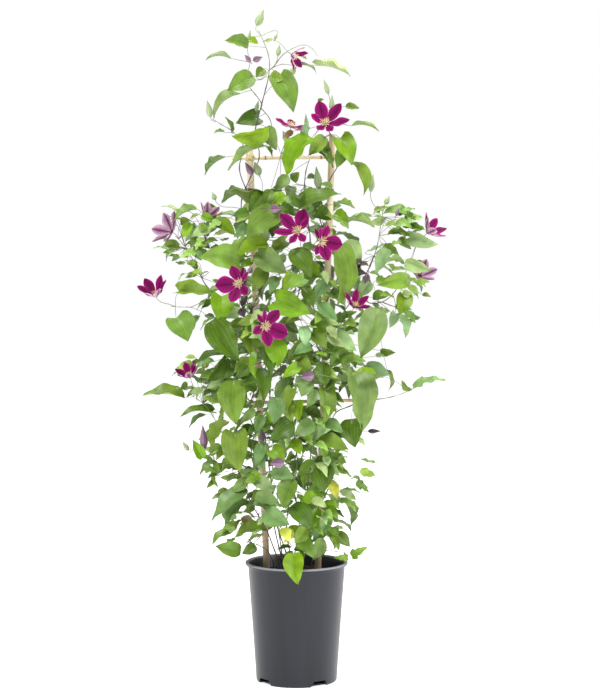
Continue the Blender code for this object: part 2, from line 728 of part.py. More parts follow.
def flower(centre, facing, first_turn, span, count, cup):
    """A star of tepals round a small disc, as one closed shape."""
    facing = facing.normalized()
    zero = Vector((1, 0, 0)) - facing * facing.x
    zero = (zero if zero.length > 0.1 else Vector((0, 0, 1))).normalized()
    quarter = facing.cross(zero)
    thick = BLADE_THICKNESS / 2
    points = []
    faces = []

    def out_at(angle):
        return zero * math.cos(angle) + quarter * math.sin(angle)

    step = math.tau / count
    turns = [math.radians(first_turn) + step * index for index in range(count)]
    for turn in turns:
        corner = centre + out_at(turn - step / 2) * FLOWER_DISC
        points.append(corner + facing * thick)
        points.append(corner - facing * thick)
    faces.append([2 * index for index in range(count)])
    faces.append([2 * index + 1 for index in range(count)][::-1])
    raised = math.radians(cup)
    inner = FLOWER_DISC * math.cos(step / 2)
    for index, turn in enumerate(turns):
        out = out_at(turn)
        base = centre + out * inner
        length = span / 2 - inner
        tip = base + (out * math.cos(raised) + facing * math.sin(raised)) * length
        upper = facing * math.cos(raised) - out * math.sin(raised)
        named, _, _ = blade(base, tip, upper, TEPAL_WIDTH * span, TEPAL_EDGE, TEPAL_RIB,
                            arch=TEPAL_ARCH, fold=TEPAL_FOLD)
        keys = list(named)
        place = {key: len(points) + number for number, key in enumerate(keys)}
        points.extend(named[key] for key in keys)
        after = (index + 1) % count
        place.update(bru=2 * index, brd=2 * index + 1, blu=2 * after, bld=2 * after + 1)
        base_names = {"ru": "bru", "rd": "brd", "lu": "blu", "ld": "bld"}
        for face in blade_faces(TEPAL_EDGE, SMALL_HALF, base_names):
            faces.append([place[name] for name in face])
        faces.append([place["blu"], place["bru"], place["m0u"]])
        faces.append([place["bru"] + 1, place["blu"] + 1, place["m0d"]])
    return points, faces


def stamens(centre, facing, cup):
    """The boss of stamens in the middle of a flower, a low cup with a ring of points."""
    facing = facing.normalized()
    across = facing.orthogonal().normalized()
    other = facing.cross(across)
    spread = STAMEN_SPREAD if cup < NARROW_CUP else STAMEN_SPREAD * NARROW_SHARE
    start = BLADE_THICKNESS / 2 + SEAT_GAP
    outer = (spread, STAMEN_HEIGHT)
    inner = (spread * 0.55, STAMEN_HEIGHT * 0.7)
    points = []
    for ring in (((STAMEN_FOOT, start),) * 2, (outer, inner)):
        for step in range(STAMEN_POINTS):
            angle = math.tau * step / STAMEN_POINTS
            reach, height = ring[step % 2]
            points.append(centre + (across * math.cos(angle) + other * math.sin(angle)) * reach
                          + facing * height)
    points.append(centre + facing * STAMEN_HEIGHT * 0.9)
    count = STAMEN_POINTS
    faces = [list(range(count))[::-1]]
    for step in range(count):
        after = (step + 1) % count
        faces.append([step, after, count + after])
        faces.append([step, count + after, count + step])
        faces.append([count + step, count + after, 2 * count])
    return points, faces


# For each shoot, the places on its stems that stalks may grow from, and its pieces
NODES = {}
PIECES = {}


def shoot_way(shoot):
    """The middle line of a shoot's main stem, from the bottom of its hole upwards."""
    across, depth = shoot["hole"]
    way = [Vector((across, depth, SOIL_TOP - STEM_DEPTH)), Vector((across, depth, SOIL_TOP + 6))]
    if shoot["cane"]:
        height = shoot["start"]
        while height <= shoot["reach"]:
            angle = math.radians(shoot["turn"]) + math.tau * (height - TWINE_HEIGHT) / TWINE_PITCH
            out = Vector((math.cos(angle), math.sin(angle), 0)) * TWINE_RADIUS
            way.append(cane_at(shoot["cane"], height) + out)
            height += TWINE_PITCH / 6
    way.extend(seen(*place) for place in shoot["way"])
    return [way[0], *smooth(way[1:], STEM_SPACING)]


def grow_stem(name, points, radius, tip_radius, sides):
    radii = [radius + (tip_radius - radius) * index / (len(points) - 1) for index in range(len(points))]
    made, faces = tube(points, radii, sides)
    remember(made, faces, name, "stem")
    PIECES[name].append((made, faces))
    for before, after in zip(points, points[1:]):
        middle = (before + after) / 2
        if middle.z > SOIL_TOP + 12:
            NODES[name].append(middle)


def roots_for(end, away):
    """The likeliest stem nodes for a stalk that ends here, growing away along a direction."""
    ranked = []
    for name, nodes in NODES.items():
        for point in nodes:
            gap = end - point
            distance = gap.length
            if distance < SHORTEST_STALK or distance > LONGEST_STALK:
                continue
            ahead = gap.normalized().dot(away)
            ranked.append((distance * (1.7 - ahead) - 0.15 * gap.z, name, point))
    ranked.sort(key=lambda row: row[0])
    return ranked[:ROOTS_TRIED]


def stalk_path(root, end, away, under, pieces, bulge):
    """Points of a stalk from its root to its end, where it arrives along away, bowed to one side."""
    reach = (end - root).length
    leave = root + (end - root) * 0.3 + bulge * reach
    arrive = end - away * reach * 0.32 - under * reach * 0.10
    return interpolate_bezier(root, leave, arrive, end, pieces + 1)


# Ways that a stalk may bow to pass what is in front of it, as shares of its reach
BULGES = tuple(Vector(way) for way in (
    (0, 0, 0.08), (0, 0, 0.26), (0, -0.16, 0), (0, 0.16, 0), (0.16, 0, 0),
    (-0.16, 0, 0), (0, 0, -0.16), (0, -0.32, 0), (0, 0.32, 0)))


def place_leaf(base, tip, width):
    """Places one leaf at the wanted place, or at the nearest clear depth."""
    for shift in ROOMS:
        here = base + Vector((0, shift, 0))
        there = tip + Vector((0, shift, 0))
        along = there - here
        length = along.length
        real_width = max(width, length * LEAST_WIDTH)
        turn = math.acos(min(1.0, width / real_width))
        along.normalize()
        front = (LEAF_FRONT - along * LEAF_FRONT.dot(along)).normalized()
        facings = [Quaternion(along, angle) @ front for angle in (turn, -turn)]
        facings.sort(key=lambda facing: -facing.z)
        for facing in facings:
            if fit_leaf(here, there, facing, real_width, length > LARGE_LEAF):
                return


def fit_leaf(here, there, facing, width, large):
    """Places a leaf exactly here if its blade is clear and a stalk can reach it, and says so."""
    along = (there - here).normalized()
    stub = [here - along * STALK_STUB, here]
    points, faces, _ = leaf(stub, there, facing, width, large, LEAF_GAP)
    if blocker(points, faces):
        return False
    pieces = 3 if large else 2
    for _, name, root in roots_for(here, along):
        for bulge in BULGES:
            path = stalk_path(root, here, along, facing, pieces, bulge)
            points, faces, stalk_faces = leaf(path, there, facing, width, large, LEAF_GAP)
            if not blocker(points, stalk_faces, name, tuple(root)):
                points, faces, stalk_faces = leaf(path, there, facing, width, large)
                remember(points, faces, name)
                remember(points, stalk_faces, name, tuple(root))
                PIECES[name].append((points, faces + stalk_faces))
                return True
    return False


def place_stalked(end, away, finish, width):
    """A stalk with a bud on its end, or a bare stalk under a flower when width is zero."""
    for _, name, root in roots_for(end, away):
        for bulge in BULGES:
            neck = end - away * STALK_NECK
            path = [*stalk_path(root, neck, away, Vector((0, 0, 0)), 3, bulge), end]
            radii = [BLOOM_STALK_RADIUS] * len(path)
            if width:
                length = (finish - end).length
                path = path + [end + away * length * share for share, _ in BUD_SHAPE]
                radii = radii + [max(STALK_RADIUS, width / 2 * share) for _, share in BUD_SHAPE]
            wide, faces = tube(path, [radius + LEAF_GAP for radius in radii], STALK_SIDES)
            if width == 0:
                wide, faces = tube(path[:-1], [radius + LEAF_GAP for radius in radii[:-1]], STALK_SIDES)
            if not blocker(wide, faces, name, tuple(root)):
                points, faces = tube(path, radii, STALK_SIDES)
                remember(points, faces, name, tuple(root))
                PIECES[name].append((points, faces))
                return True
    return False


def column_width(height):
    """Half width of the leafy column at a height."""
    heights = [row[0] for row in COLUMN]
    spot = min(max(bisect.bisect(heights, height), 1), len(COLUMN) - 1)
    (low, width), (high, other) = COLUMN[spot - 1], COLUMN[spot]
    share = min(1.0, max(0.0, (height - low) / (high - low)))
    return width + (other - width) * share


def fill(count, rng, middle_turn, near, far, short, long):
    """Places small leaves by a rule: evenly up the column, at random turns and depths within it.

    near and far are shares of the column's half width, short and long the leaves' lengths."""
    for index in range(count):
        height = FILL_LOW + (FILL_HIGH - FILL_LOW) * ((index * GOLDEN) % 1.0)
        turn = math.radians(middle_turn + (rng.random() - 0.5) * FILL_TURN)
        share = near + (far - near) * rng.random()
        droop = math.radians(5 + 60 * rng.random())
        length = short + (long - short) * rng.random()
        twist = Vector((rng.random() - 0.5, rng.random() - 0.5, rng.random()))
        width = column_width(height)
        out = Vector((math.cos(turn), math.sin(turn), 0))
        base = Vector((out.x * width * share, out.y * COLUMN_DEPTH * share, height))
        tip = base + (out * math.cos(droop) - Vector((0, 0, math.sin(droop)))) * length
        facing = out * math.sin(droop) + Vector((0, 0, math.cos(droop))) + twist * 0.5
        for lift in FILL_LIFTS:
            rise = Vector((0, 0, lift))
            if fit_leaf(base + rise, tip + rise, facing, length * FILL_WIDTH, length > LARGE_LEAF):
                break


# Finishes of the pieces, as plain colours
POT_LOOK = material("moulded_black_plastic", (0.075, 0.078, 0.088), 0.42)
SOIL_LOOK = material("potting_compost", (0.030, 0.020, 0.014), 0.95)
CANE_LOOK = material("bamboo_cane", (0.560, 0.370, 0.180), 0.55)
TWINE_LOOK = material("garden_twine", (0.620, 0.560, 0.330), 0.85)
LEAF_LOOK = material("clematis_leaf", (0.110, 0.270, 0.040), 0.50)
TEPAL_LOOK = material("carmine_tepal", (0.330, 0.008, 0.120), 0.55)
STAMEN_LOOK = material("cream_stamen", (0.720, 0.600, 0.240), 0.60)


def make_pot():
    """The container: flat base, tapering wall, rolled lip, with four drain notches in its foot."""
    top = POT_HEIGHT
    under_lip = top - POT_LIP_HEIGHT
    profile = [
        (0, 0), (POT_BASE_RADIUS - 2, 0), (POT_BASE_RADIUS, 2), (POT_NECK_RADIUS, under_lip - 1),
        (POT_RIM_RADIUS - 1, under_lip), (POT_RIM_RADIUS, under_lip + 1.5), (POT_RIM_RADIUS, top - 2),
        (POT_RIM_RADIUS - 1.5, top), (POT_RIM_RADIUS - 3.5, top), (POT_RIM_RADIUS - 4.5, top - 2),
        (POT_NECK_RADIUS - POT_WALL, under_lip - 2), (POT_BASE_RADIUS - POT_WALL, POT_FLOOR),
        (0, POT_FLOOR),
    ]
    pot = solid("pot", *turned(profile, POT_SIDES), POT_LOOK)
    notches = []
    for number, angle in enumerate(NOTCH_ANGLES):
        out = Vector((math.cos(math.radians(angle)), math.sin(math.radians(angle)), 0))
        aside = Vector((-out.y, out.x, 0))
        corners = []
        for radius in (POT_BASE_RADIUS - NOTCH_DEPTH, POT_BASE_RADIUS + 6):
            for half, height in ((-NOTCH_WIDTH / 2 - 1, -1), (NOTCH_WIDTH / 2 + 1, -1),
                                 (NOTCH_WIDTH / 2 - 4, NOTCH_HEIGHT), (4 - NOTCH_WIDTH / 2, NOTCH_HEIGHT)):
                corners.append(out * radius + aside * half + Vector((0, 0, height)))
        faces = [(3, 2, 1, 0), (4, 5, 6, 7), (0, 1, 5, 4), (1, 2, 6, 5), (2, 3, 7, 6), (3, 0, 4, 7)]
        notches.append(solid("notch_%d" % number, corners, faces))
    apply_boolean(pot, "DIFFERENCE", notches)
    shade(pot, 30)
    return pot


def cane_rings(low, high, radius, joints):
    """Middle points and radii of a cane, a little thicker at each of its joints."""
    way = high - low
    points, radii = [low], [radius]
    for joint in range(joints):
        middle = (joint + 0.6) / joints
        for step, swell in ((-JOINT_HALF, 0), (0, JOINT_SWELL), (JOINT_HALF, 0)):
            points.append(low + way * middle + way.normalized() * step)
            radii.append(radius + swell)
    return [*points, high], [*radii, radius]


def make_cane(name, low, high, radius, joints):
    points, radii = cane_rings(low, high, radius, joints)
    made, faces = tube(points, radii, CANE_SIDES)
    remember(made, faces, name)
    cane = solid(name, made, faces, CANE_LOOK)
    shade(cane)
    return cane


def tie_loop(middle, diagonal):
    """One closed turn of twine round a cane and the rung behind it, along a diagonal."""
    deep = (CANE_RADIUS + RUNG_DEPTH + RUNG_RADIUS) / 2 + TIE_RADIUS + TIE_GAP
    centre = middle + Vector((0, (RUNG_DEPTH + RUNG_RADIUS - CANE_RADIUS) / 2, 0))
    bigger = 1 / math.cos(math.pi / TIE_STEPS)
    points = []
    faces = []
    for step in range(TIE_STEPS):
        angle = math.tau * step / TIE_STEPS
        out = (Vector((0, math.cos(angle) * deep, 0)) + diagonal * math.sin(angle) * TIE_REACH) * bigger
        aside = diagonal.cross(Vector((0, 1, 0)))
        outward = out.normalized()
        for side in range(TIE_SIDES):
            turn = math.tau * side / TIE_SIDES
            points.append(centre + out + (outward * math.cos(turn) + aside * math.sin(turn)) * TIE_RADIUS)
    for step in range(TIE_STEPS):
        near, far = step * TIE_SIDES, (step + 1) % TIE_STEPS * TIE_SIDES
        for side in range(TIE_SIDES):
            after = (side + 1) % TIE_SIDES
            faces.append([near + side, far + side, far + after, near + after])
    return points, faces


def make_tie(name, middle):
    """Two crossed turns of twine that bind a rung to a cane."""
    loops = []
    for number, rise in enumerate((1, -1)):
        points, faces = tie_loop(middle, Vector((1, 0, rise)).normalized())
        remember(points, faces, name)
        loops.append(solid("%s_turn_%d" % (name, number), points, faces, TWINE_LOOK))
    tie = loops[0]
    tie.name = name
    apply_boolean(tie, "UNION", loops[1:])
    shade(tie, 60)
    return tie


def make_soil(holes):
    """The compost, a filled cone with a slightly heaped top and a plain hole for each cane and stem."""
    foot = POT_BASE_RADIUS - POT_WALL - SEAT_GAP - 0.2
    wall_rise = (POT_NECK_RADIUS - POT_BASE_RADIUS) / (POT_HEIGHT - POT_LIP_HEIGHT - 2 - POT_FLOOR)
    edge = foot + (SOIL_TOP - 5 - POT_FLOOR) * wall_rise - 0.6
    profile = [(0, POT_FLOOR + SEAT_GAP), (foot - 0.5, POT_FLOOR + SEAT_GAP), (edge, SOIL_TOP - 5),
               (60, SOIL_TOP), (28, SOIL_TOP + 3), (0, SOIL_TOP + 4)]
    points, faces = turned(profile, SOIL_SIDES)
    for point in points:
        if point.z > SOIL_TOP - 3:
            slow = math.sin(point.x * 0.11 - point.y * 0.13)
            quick = math.sin(point.x * 0.23 + 1) * math.cos(point.y * 0.19)
            point.z += SOIL_RELIEF * (slow + quick)
    soil = solid("soil", points, faces, SOIL_LOOK)
    apply_boolean(soil, "DIFFERENCE", holes)
    shade(soil, 50)
    return soil


remember_made(make_pot())

holes = []
for name, ((low_x, low_z), (high_x, high_z)) in CANES.items():
    low, high = Vector((low_x, 0, low_z)), Vector((high_x, 0, high_z))
    make_cane("cane_" + name, low, high, CANE_RADIUS, CANE_JOINTS)
    way = (high - low).normalized()
    points, radii = cane_rings(low, high, CANE_RADIUS, CANE_JOINTS)
    hole = [low - way * SEAT_GAP, cane_at(name, SOIL_TOP + 20)]
    points, faces = tube(hole, [CANE_RADIUS + JOINT_SWELL + SEAT_GAP] * 2, CANE_SIDES)
    holes.append(solid("hole_" + name, points, faces))
for name, ((low_x, low_z), (high_x, high_z)) in RUNGS.items():
    low, high = Vector((low_x, RUNG_DEPTH, low_z)), Vector((high_x, RUNG_DEPTH, high_z))
    make_cane("rung_" + name, low, high, RUNG_RADIUS, RUNG_JOINTS)
    for side in CANES:
        across = cane_at(side, (low_z + high_z) / 2).x
        height = low_z + (high_z - low_z) * (across - low_x) / (high_x - low_x)
        make_tie("tie_%s_%s" % (name, side), Vector((across, 0, height)))

for name, shoot in SHOOTS.items():
    NODES[name] = []
    PIECES[name] = []
    way = shoot_way(shoot)
    hole = [way[0] - Vector((0, 0, SEAT_GAP)), Vector((way[0].x, way[0].y, SOIL_TOP + 20))]
    wide = STEM_RADIUS + SEAT_GAP / math.cos(math.pi / STEM_SIDES) + 0.05
    points, faces = tube(hole, [wide, wide], STEM_SIDES)
    holes.append(solid("hole_" + name, points, faces))
    grow_stem(name, way, STEM_RADIUS, STEM_TIP_RADIUS, STEM_SIDES)
for name, shoot in SHOOTS.items():
    for side in shoot["side"]:
        way = smooth([seen(*place) for place in side], STEM_SPACING)
        root = min(NODES[name], key=lambda node: (node - way[0]).length)
        way = [root, *way[1:]] if (root - way[0]).length < NEAR_ROOT else [root, *way]
        grow_stem(name, way, BRANCH_RADIUS, BRANCH_TIP_RADIUS, BRANCH_SIDES)
remember_made(make_soil(holes))

for name, (place, facing, first_turn, span, count, cup) in FLOWERS.items():
    centre = seen(*place)
    facing = Vector(facing).normalized()
    points, faces = flower(centre, facing, first_turn, span, count, cup)
    remember(points, faces, name)
    star = solid(name + "_tepals", points, faces, TEPAL_LOOK)
    shade(star, 40)
    points, faces = stamens(centre, facing, cup)
    remember(points, faces, name)
    boss = solid(name + "_stamens", points, faces, STAMEN_LOOK)
    shade(boss, 60)
for name, (place, facing, *_) in FLOWERS.items():
    facing = Vector(facing).normalized()
    seat = seen(*place) - facing * (BLADE_THICKNESS / 2 + SEAT_GAP)
    place_stalked(seat, facing, seat, 0)

rng = random.Random(FILL_SEED)
for row in sorted(LEAVES, key=lambda row: math.hypot(row[0] - row[3], row[1] - row[4]), reverse=True):
    base, tip, width = seen(row[0], row[1], row[2]), seen(row[3], row[4], row[5]), row[6]
    if (tip - base).length >= SMALLEST_LEAF:
        place_leaf(base, tip, width)
for row in BUDS:
    end, finish = seen(*row[:3]), seen(*row[3:6])
    away = (finish - end).normalized()
    for shift in BUD_ROOMS:
        deeper = Vector((0, shift, 0))
        if place_stalked(end + deeper, away, finish + deeper, row[6]):
            break
fill(BACK_LEAVES, rng, middle_turn=90, near=0.35, far=0.85, short=34, long=58)
fill(INNER_LEAVES, rng, middle_turn=-90, near=0.05, far=0.55, short=28, long=40)

for name, pieces in PIECES.items():
    made = []
    for number, (points, faces) in enumerate(pieces):
        made.append(solid("%s_%d" % (name, number), points, faces, LEAF_LOOK))
    plant = made[0]
    plant.name = "shoot_" + name
    apply_boolean(plant, "UNION", made[1:], "MANIFOLD")
    shade(plant, 40)
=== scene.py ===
import bisect
import json
import math
import random

import bpy
from mathutils import Matrix, Quaternion, Vector
from mathutils.bvhtree import BVHTree
from mathutils.geometry import interpolate_bezier

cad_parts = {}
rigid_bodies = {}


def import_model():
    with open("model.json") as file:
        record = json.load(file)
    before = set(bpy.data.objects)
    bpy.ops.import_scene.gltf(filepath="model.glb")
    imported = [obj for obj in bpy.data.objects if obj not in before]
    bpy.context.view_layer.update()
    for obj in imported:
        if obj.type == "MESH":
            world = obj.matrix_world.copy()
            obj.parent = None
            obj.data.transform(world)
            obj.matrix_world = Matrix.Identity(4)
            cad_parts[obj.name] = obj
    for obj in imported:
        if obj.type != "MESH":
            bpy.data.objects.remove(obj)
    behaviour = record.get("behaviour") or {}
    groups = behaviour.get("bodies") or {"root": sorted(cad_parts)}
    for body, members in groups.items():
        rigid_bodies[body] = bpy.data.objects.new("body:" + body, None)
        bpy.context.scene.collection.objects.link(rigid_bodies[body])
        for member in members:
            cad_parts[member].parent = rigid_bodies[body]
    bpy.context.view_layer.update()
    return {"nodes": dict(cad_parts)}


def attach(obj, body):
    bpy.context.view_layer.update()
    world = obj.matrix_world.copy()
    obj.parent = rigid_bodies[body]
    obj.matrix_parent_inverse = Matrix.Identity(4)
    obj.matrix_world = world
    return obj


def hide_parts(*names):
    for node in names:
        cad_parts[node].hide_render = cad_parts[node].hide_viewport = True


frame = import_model()

# Pot
# A tall nursery container, injection moulded in one piece of dark grey polypropylene. It has a
# rolled lip, a flat base and four drain notches in its foot, and it stands on the ground.
MM = 0.001
POT_SIDES = 128
# Outline of the wall as (radius, height): up the outside, over the lip and down the inside
POT_OUTLINE = (
    (0, 0), (71.8, 0), (73.6, 0.5), (74.5, 1.9), (74.9, 6), (78.6, 60), (82.8, 120), (87.2, 180),
    (89.4, 209), (89.7, 213.6), (90.2, 214.5), (92.6, 215.0), (94.0, 215.3), (94.7, 215.8),
    (94.9, 216.6), (94.9, 218.8), (94.5, 219.8), (93.4, 220.4), (91.4, 220.6), (89.6, 220.1),
    (88.9, 219.0), (86.4, 211.0), (73.2, 4.2), (72.4, 3.3), (71.2, 3.0), (0, 3.0),
)
NOTCH_ANGLES = (-143, -55, 37, 125)
# A notch: its outline as (across, height), and the distances from the axis between which it is cut
NOTCH_OUTLINE = ((-19, -1), (19, -1), (13, 10.5), (-13, 10.5))
NOTCH_REACH = (63, 81)


def linear(text):
    """A colour for a socket, from its sRGB hex digits."""
    channels = [int(text[place:place + 2], 16) / 255 for place in (0, 2, 4)]
    return (*(c / 12.92 if c <= 0.04045 else ((c + 0.055) / 1.055) ** 2.4 for c in channels), 1.0)


def add(tree, kind, feeds=None, out=None, stops=(), **settings):
    """Adds a node, or takes the one that is there, and returns the named output or the first in use.

    feeds holds, by input, a socket to link or a value, and stops the colours of a ramp by place."""
    made = tree.nodes.get(kind) or tree.nodes.new(kind)
    for name, value in settings.items():
        setattr(made, name, value)
    for number, (spot, colour) in enumerate(stops):
        marks = made.color_ramp.elements
        mark = marks[number] if number < 2 else marks.new(spot)
        mark.position = spot
        mark.color = linear(colour)
    for name, value in (feeds or {}).items():
        known = [socket for socket in made.inputs if socket.enabled and socket.name == name]
        socket = known[0] if known else made.inputs[name]
        if isinstance(value, bpy.types.NodeSocket):
            tree.links.new(value, socket)
        else:
            socket.default_value = value
    return made.outputs[out] if out else next((found for found in made.outputs if found.enabled), None)


def new_look(name):
    """A new material and its node tree."""
    look = bpy.data.materials.new(name)
    look.use_nodes = True
    return look, look.node_tree


def mesh_object(name, points, faces, edges=()):
    """A linked mesh object from points in millimetres."""
    mesh = bpy.data.meshes.new(name)
    mesh.from_pydata([tuple(p * MM for p in point) for point in points], edges, faces)
    mesh.update()
    made = bpy.data.objects.new(name, mesh)
    bpy.context.scene.collection.objects.link(made)
    return made


def settle(made, look, nodes, angle=40):
    """Shades a finished piece, gives it its material, fixes it to the root body and hides the parts it
    stands for.
    """
    made.data.shade_smooth()
    made.data.set_sharp_from_angle(angle=math.radians(angle))
    if look:
        made.data.materials.clear()
        made.data.materials.append(look)
    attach(made, "root")
    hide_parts(*nodes)


def turned(profile, sides):
    """Points and faces of a closed profile of (radius, height) turned about the upright axis."""
    points = []
    rings = []
    for radius, height in profile:
        if radius == 0:
            rings.append([len(points)] * sides)
            points.append(Vector((0, 0, height)))
            continue
        rings.append(list(range(len(points), len(points) + sides)))
        for step in range(sides):
            angle = math.tau * step / sides
            points.append(Vector((radius * math.cos(angle), radius * math.sin(angle), height)))
    faces = []
    for low, high in zip(rings, rings[1:]):
        for step in range(sides):
            after = (step + 1) % sides
            face = list(dict.fromkeys([low[step], low[after], high[after], high[step]]))
            if len(face) > 2:
                faces.append(face)
    return points, faces


def plain_mesh(target):
    """Applies the modifiers of an object."""
    bpy.context.view_layer.update()
    graph = bpy.context.evaluated_depsgraph_get()
    result = bpy.data.meshes.new_from_object(target.evaluated_get(graph))
    target.modifiers.clear()
    target.data = result


def gathered(name, things):
    """Moves things out of the scene into a collection of their own, to be cut with or copied."""
    group = bpy.data.collections.new(name)
    bpy.context.scene.collection.children.link(group)
    for thing in things:
        bpy.context.scene.collection.objects.unlink(thing)
        group.objects.link(thing)
    return group


def discard(group):
    """Removes a collection and what is in it."""
    for thing in list(group.objects):
        bpy.data.objects.remove(thing)
    bpy.data.collections.remove(group)


def level(angle):
    """The level unit vector at an angle."""
    return Vector((math.cos(angle), math.sin(angle), 0))


pot = mesh_object("pot_shell", *turned(POT_OUTLINE, POT_SIDES))
cutters = []
for number, angle in enumerate(NOTCH_ANGLES):
    out = level(math.radians(angle))
    aside = Vector((-out.y, out.x, 0))
    corners = [out * radius + aside * across + Vector((0, 0, height))
               for radius in NOTCH_REACH for across, height in NOTCH_OUTLINE]
    faces = [(3, 2, 1, 0), (4, 5, 6, 7), (0, 1, 5, 4), (1, 2, 6, 5), (2, 3, 7, 6), (3, 0, 4, 7)]
    cutters.append(mesh_object("notch_%d" % number, corners, faces))
notches = gathered("notches", cutters)
cut = pot.modifiers.new("notches", "BOOLEAN")
cut.operation = "DIFFERENCE"
cut.operand_type = "COLLECTION"
cut.collection = notches
cut.solver = "EXACT"
plain_mesh(pot)
discard(notches)

# Moulded polypropylene: a dark blue-grey body colour with a satin skin, faint upright flow marks
# whose lighter streaks are partly a painted sheen, a painted highlight in pale grey along the top of
# its lip, and a very fine grain from the mould
pot_look, tree = new_look("moulded_dark_grey_polypropylene")
place = add(tree, "ShaderNodeTexCoord", out="Object")
stretched = add(tree, "ShaderNodeMapping", {"Vector": place, "Scale": (26, 26, 3)})
# The flow marks are real, and their lighter streaks in the colour also stand for a painted sheen
flow_marks_and_sheen = add(tree, "ShaderNodeTexNoise", {"Vector": stretched, "Scale": 1.0, "Detail": 3.0})
grain = add(tree, "ShaderNodeTexNoise", {"Vector": place, "Scale": 900.0})
colour = add(tree, "ShaderNodeValToRGB", {"Fac": flow_marks_and_sheen}, stops=((0.3, "0E1017"), (0.75, "1B1E2A")))
rough = add(tree, "ShaderNodeMapRange", {"Value": flow_marks_and_sheen, "To Min": 0.28, "To Max": 0.42})
height = add(tree, "ShaderNodeSeparateXYZ", {"Vector": place}, out="Z")
# Painted highlight: the top of the lip is coloured pale grey for the light it catches there
top = add(tree, "ShaderNodeMapRange", {"Value": height, "From Min": 0.2166, "From Max": 0.2182})
painted_lip_highlight = add(tree, "ShaderNodeMix", {"Factor": top, "A": colour, "B": linear("8A8C94")}, data_type="RGBA")
bump = add(tree, "ShaderNodeBump", {"Strength": 0.12, "Distance": 0.0004, "Height": grain})
add(tree, "Principled BSDF", {"Base Color": painted_lip_highlight, "Roughness": rough, "Specular IOR Level": 0.42,
                              "Normal": bump})
settle(pot, pot_look, ["pot"])

# Compost
# Dark peaty potting compost, filled to about 20 mm under the lip. It is loose: its top is uneven
# and strewn with crumbs and chips of bark, set out over it by a node tree.
SOIL_TOP = 199
SOIL_RADIUS = 84.6
SOIL_RINGS = 26
SOIL_SIDES = 96
SOIL_SIDE_DEPTH = 12
# How far the compost is heaped: at the very middle, near it, and how much less at the wall
SOIL_PEAK = 5
SOIL_HEAP = 4.6
SOIL_FALL = 7.5
CRUMBS_PER_METRE = 60000.0
CRUMB_SIZES = (0.6, 2.6)
CRUMB_FORMS = 3
# Reach of each corner of a crumb: the least, and how much more it may be
CRUMB_REACH = (0.6, 0.6)
CRUMB_SEED = 5


def node_tree(name, inputs):
    """A geometry tree with named inputs after the geometry. Returns it with its input node."""
    made = bpy.data.node_groups.new(name, "GeometryNodeTree")
    for way in ("INPUT", "OUTPUT"):
        made.interface.new_socket(name="Geometry", in_out=way, socket_type="NodeSocketGeometry")
    for label, kind in inputs.items():
        made.interface.new_socket(name=label, in_out="INPUT", socket_type="NodeSocket" + kind)
    return made, made.nodes.new("NodeGroupInput").outputs


def end_tree(tree, copies, finish):
    """Ends a geometry tree in real geometry with its material."""
    alone = add(tree, "GeometryNodeRealizeInstances", {"Geometry": copies})
    painted = add(tree, "GeometryNodeSetMaterial", {"Geometry": alone, "Material": finish})
    add(tree, "NodeGroupOutput", {"Geometry": painted})


def make_with(made, tree, values):
    """Runs a geometry tree on an object, with values by input name, and keeps the plain mesh."""
    modifier = made.modifiers.new(tree.name, "NODES")
    modifier.node_group = tree
    for item in tree.interface.items_tree:
        if item.in_out == "INPUT" and item.name in values:
            modifier[item.identifier] = values[item.name]
    plain_mesh(made)
    return made


soil_points = [Vector((0, 0, SOIL_TOP + SOIL_PEAK))]
soil_faces = []
for ring in range(1, SOIL_RINGS + 1):
    radius = SOIL_RADIUS * ring / SOIL_RINGS
    for step in range(SOIL_SIDES):
        angle = math.tau * step / SOIL_SIDES
        x, y = radius * math.cos(angle), radius * math.sin(angle)
        heap = SOIL_HEAP - SOIL_FALL * (radius / SOIL_RADIUS) ** 3
        slow = math.sin(x * 0.11 - y * 0.13) + math.sin(x * 0.23 + 1) * math.cos(y * 0.19)
        quick = math.sin(x * 0.9 + y * 0.4) * math.sin(y * 0.8 - x * 0.3)
        soil_points.append(Vector((x, y, SOIL_TOP + heap + 1.0 * slow + 0.6 * quick)))
        after = (step + 1) % SOIL_SIDES
        low, high = 1 + (ring - 2) * SOIL_SIDES, 1 + (ring - 1) * SOIL_SIDES
        if ring == 1:
            soil_faces.append((0, high + step, high + after))
        else:
            soil_faces.append((low + step, high + step, high + after, low + after))
rim = len(soil_points) - SOIL_SIDES
foot = rim + SOIL_SIDES
soil_points.extend(Vector((p.x, p.y, SOIL_TOP - SOIL_SIDE_DEPTH)) for p in soil_points[rim:foot])
for step in range(SOIL_SIDES):
    after = (step + 1) % SOIL_SIDES
    soil_faces.append((rim + step, foot + step, foot + after, rim + after))
soil_faces.append([foot + step for step in range(SOIL_SIDES)][::-1])

# Peat compost: nearly black when moist, with brown fibres and a dull broken surface
compost, tree = new_look("moist_peat_compost")
place = add(tree, "ShaderNodeTexCoord", out="Object")
lumps = add(tree, "ShaderNodeTexNoise", {"Vector": place, "Scale": 240.0, "Detail": 6.0})
colour = add(tree, "ShaderNodeValToRGB", {"Fac": lumps}, stops=((0.35, "15100C"), (0.72, "4A3626")))
bump = add(tree, "ShaderNodeBump", {"Strength": 0.9, "Distance": 0.002, "Height": lumps})
add(tree, "Principled BSDF", {"Base Color": colour, "Roughness": 0.95, "Normal": bump})

soil_top = mesh_object("soil_top", soil_points, soil_faces)
settle(soil_top, compost, [], 60)

crumbs = []
crumb_turns = random.Random(CRUMB_SEED)
for number in range(CRUMB_FORMS):
    corners = []
    for way in ((1, 0, 0), (-1, 0, 0), (0, 1, 0), (0, -1, 0), (0, 0, 1), (0, 0, -1)):
        corners.append(Vector(way) * (CRUMB_REACH[0] + CRUMB_REACH[1] * crumb_turns.random()))
    faces = [(0, 2, 4), (2, 1, 4), (1, 3, 4), (3, 0, 4), (2, 0, 5), (1, 2, 5), (3, 1, 5), (0, 3, 5)]
    crumbs.append(mesh_object("crumb_%d" % number, corners, faces))
crumb_forms = gathered("crumb_forms", crumbs)

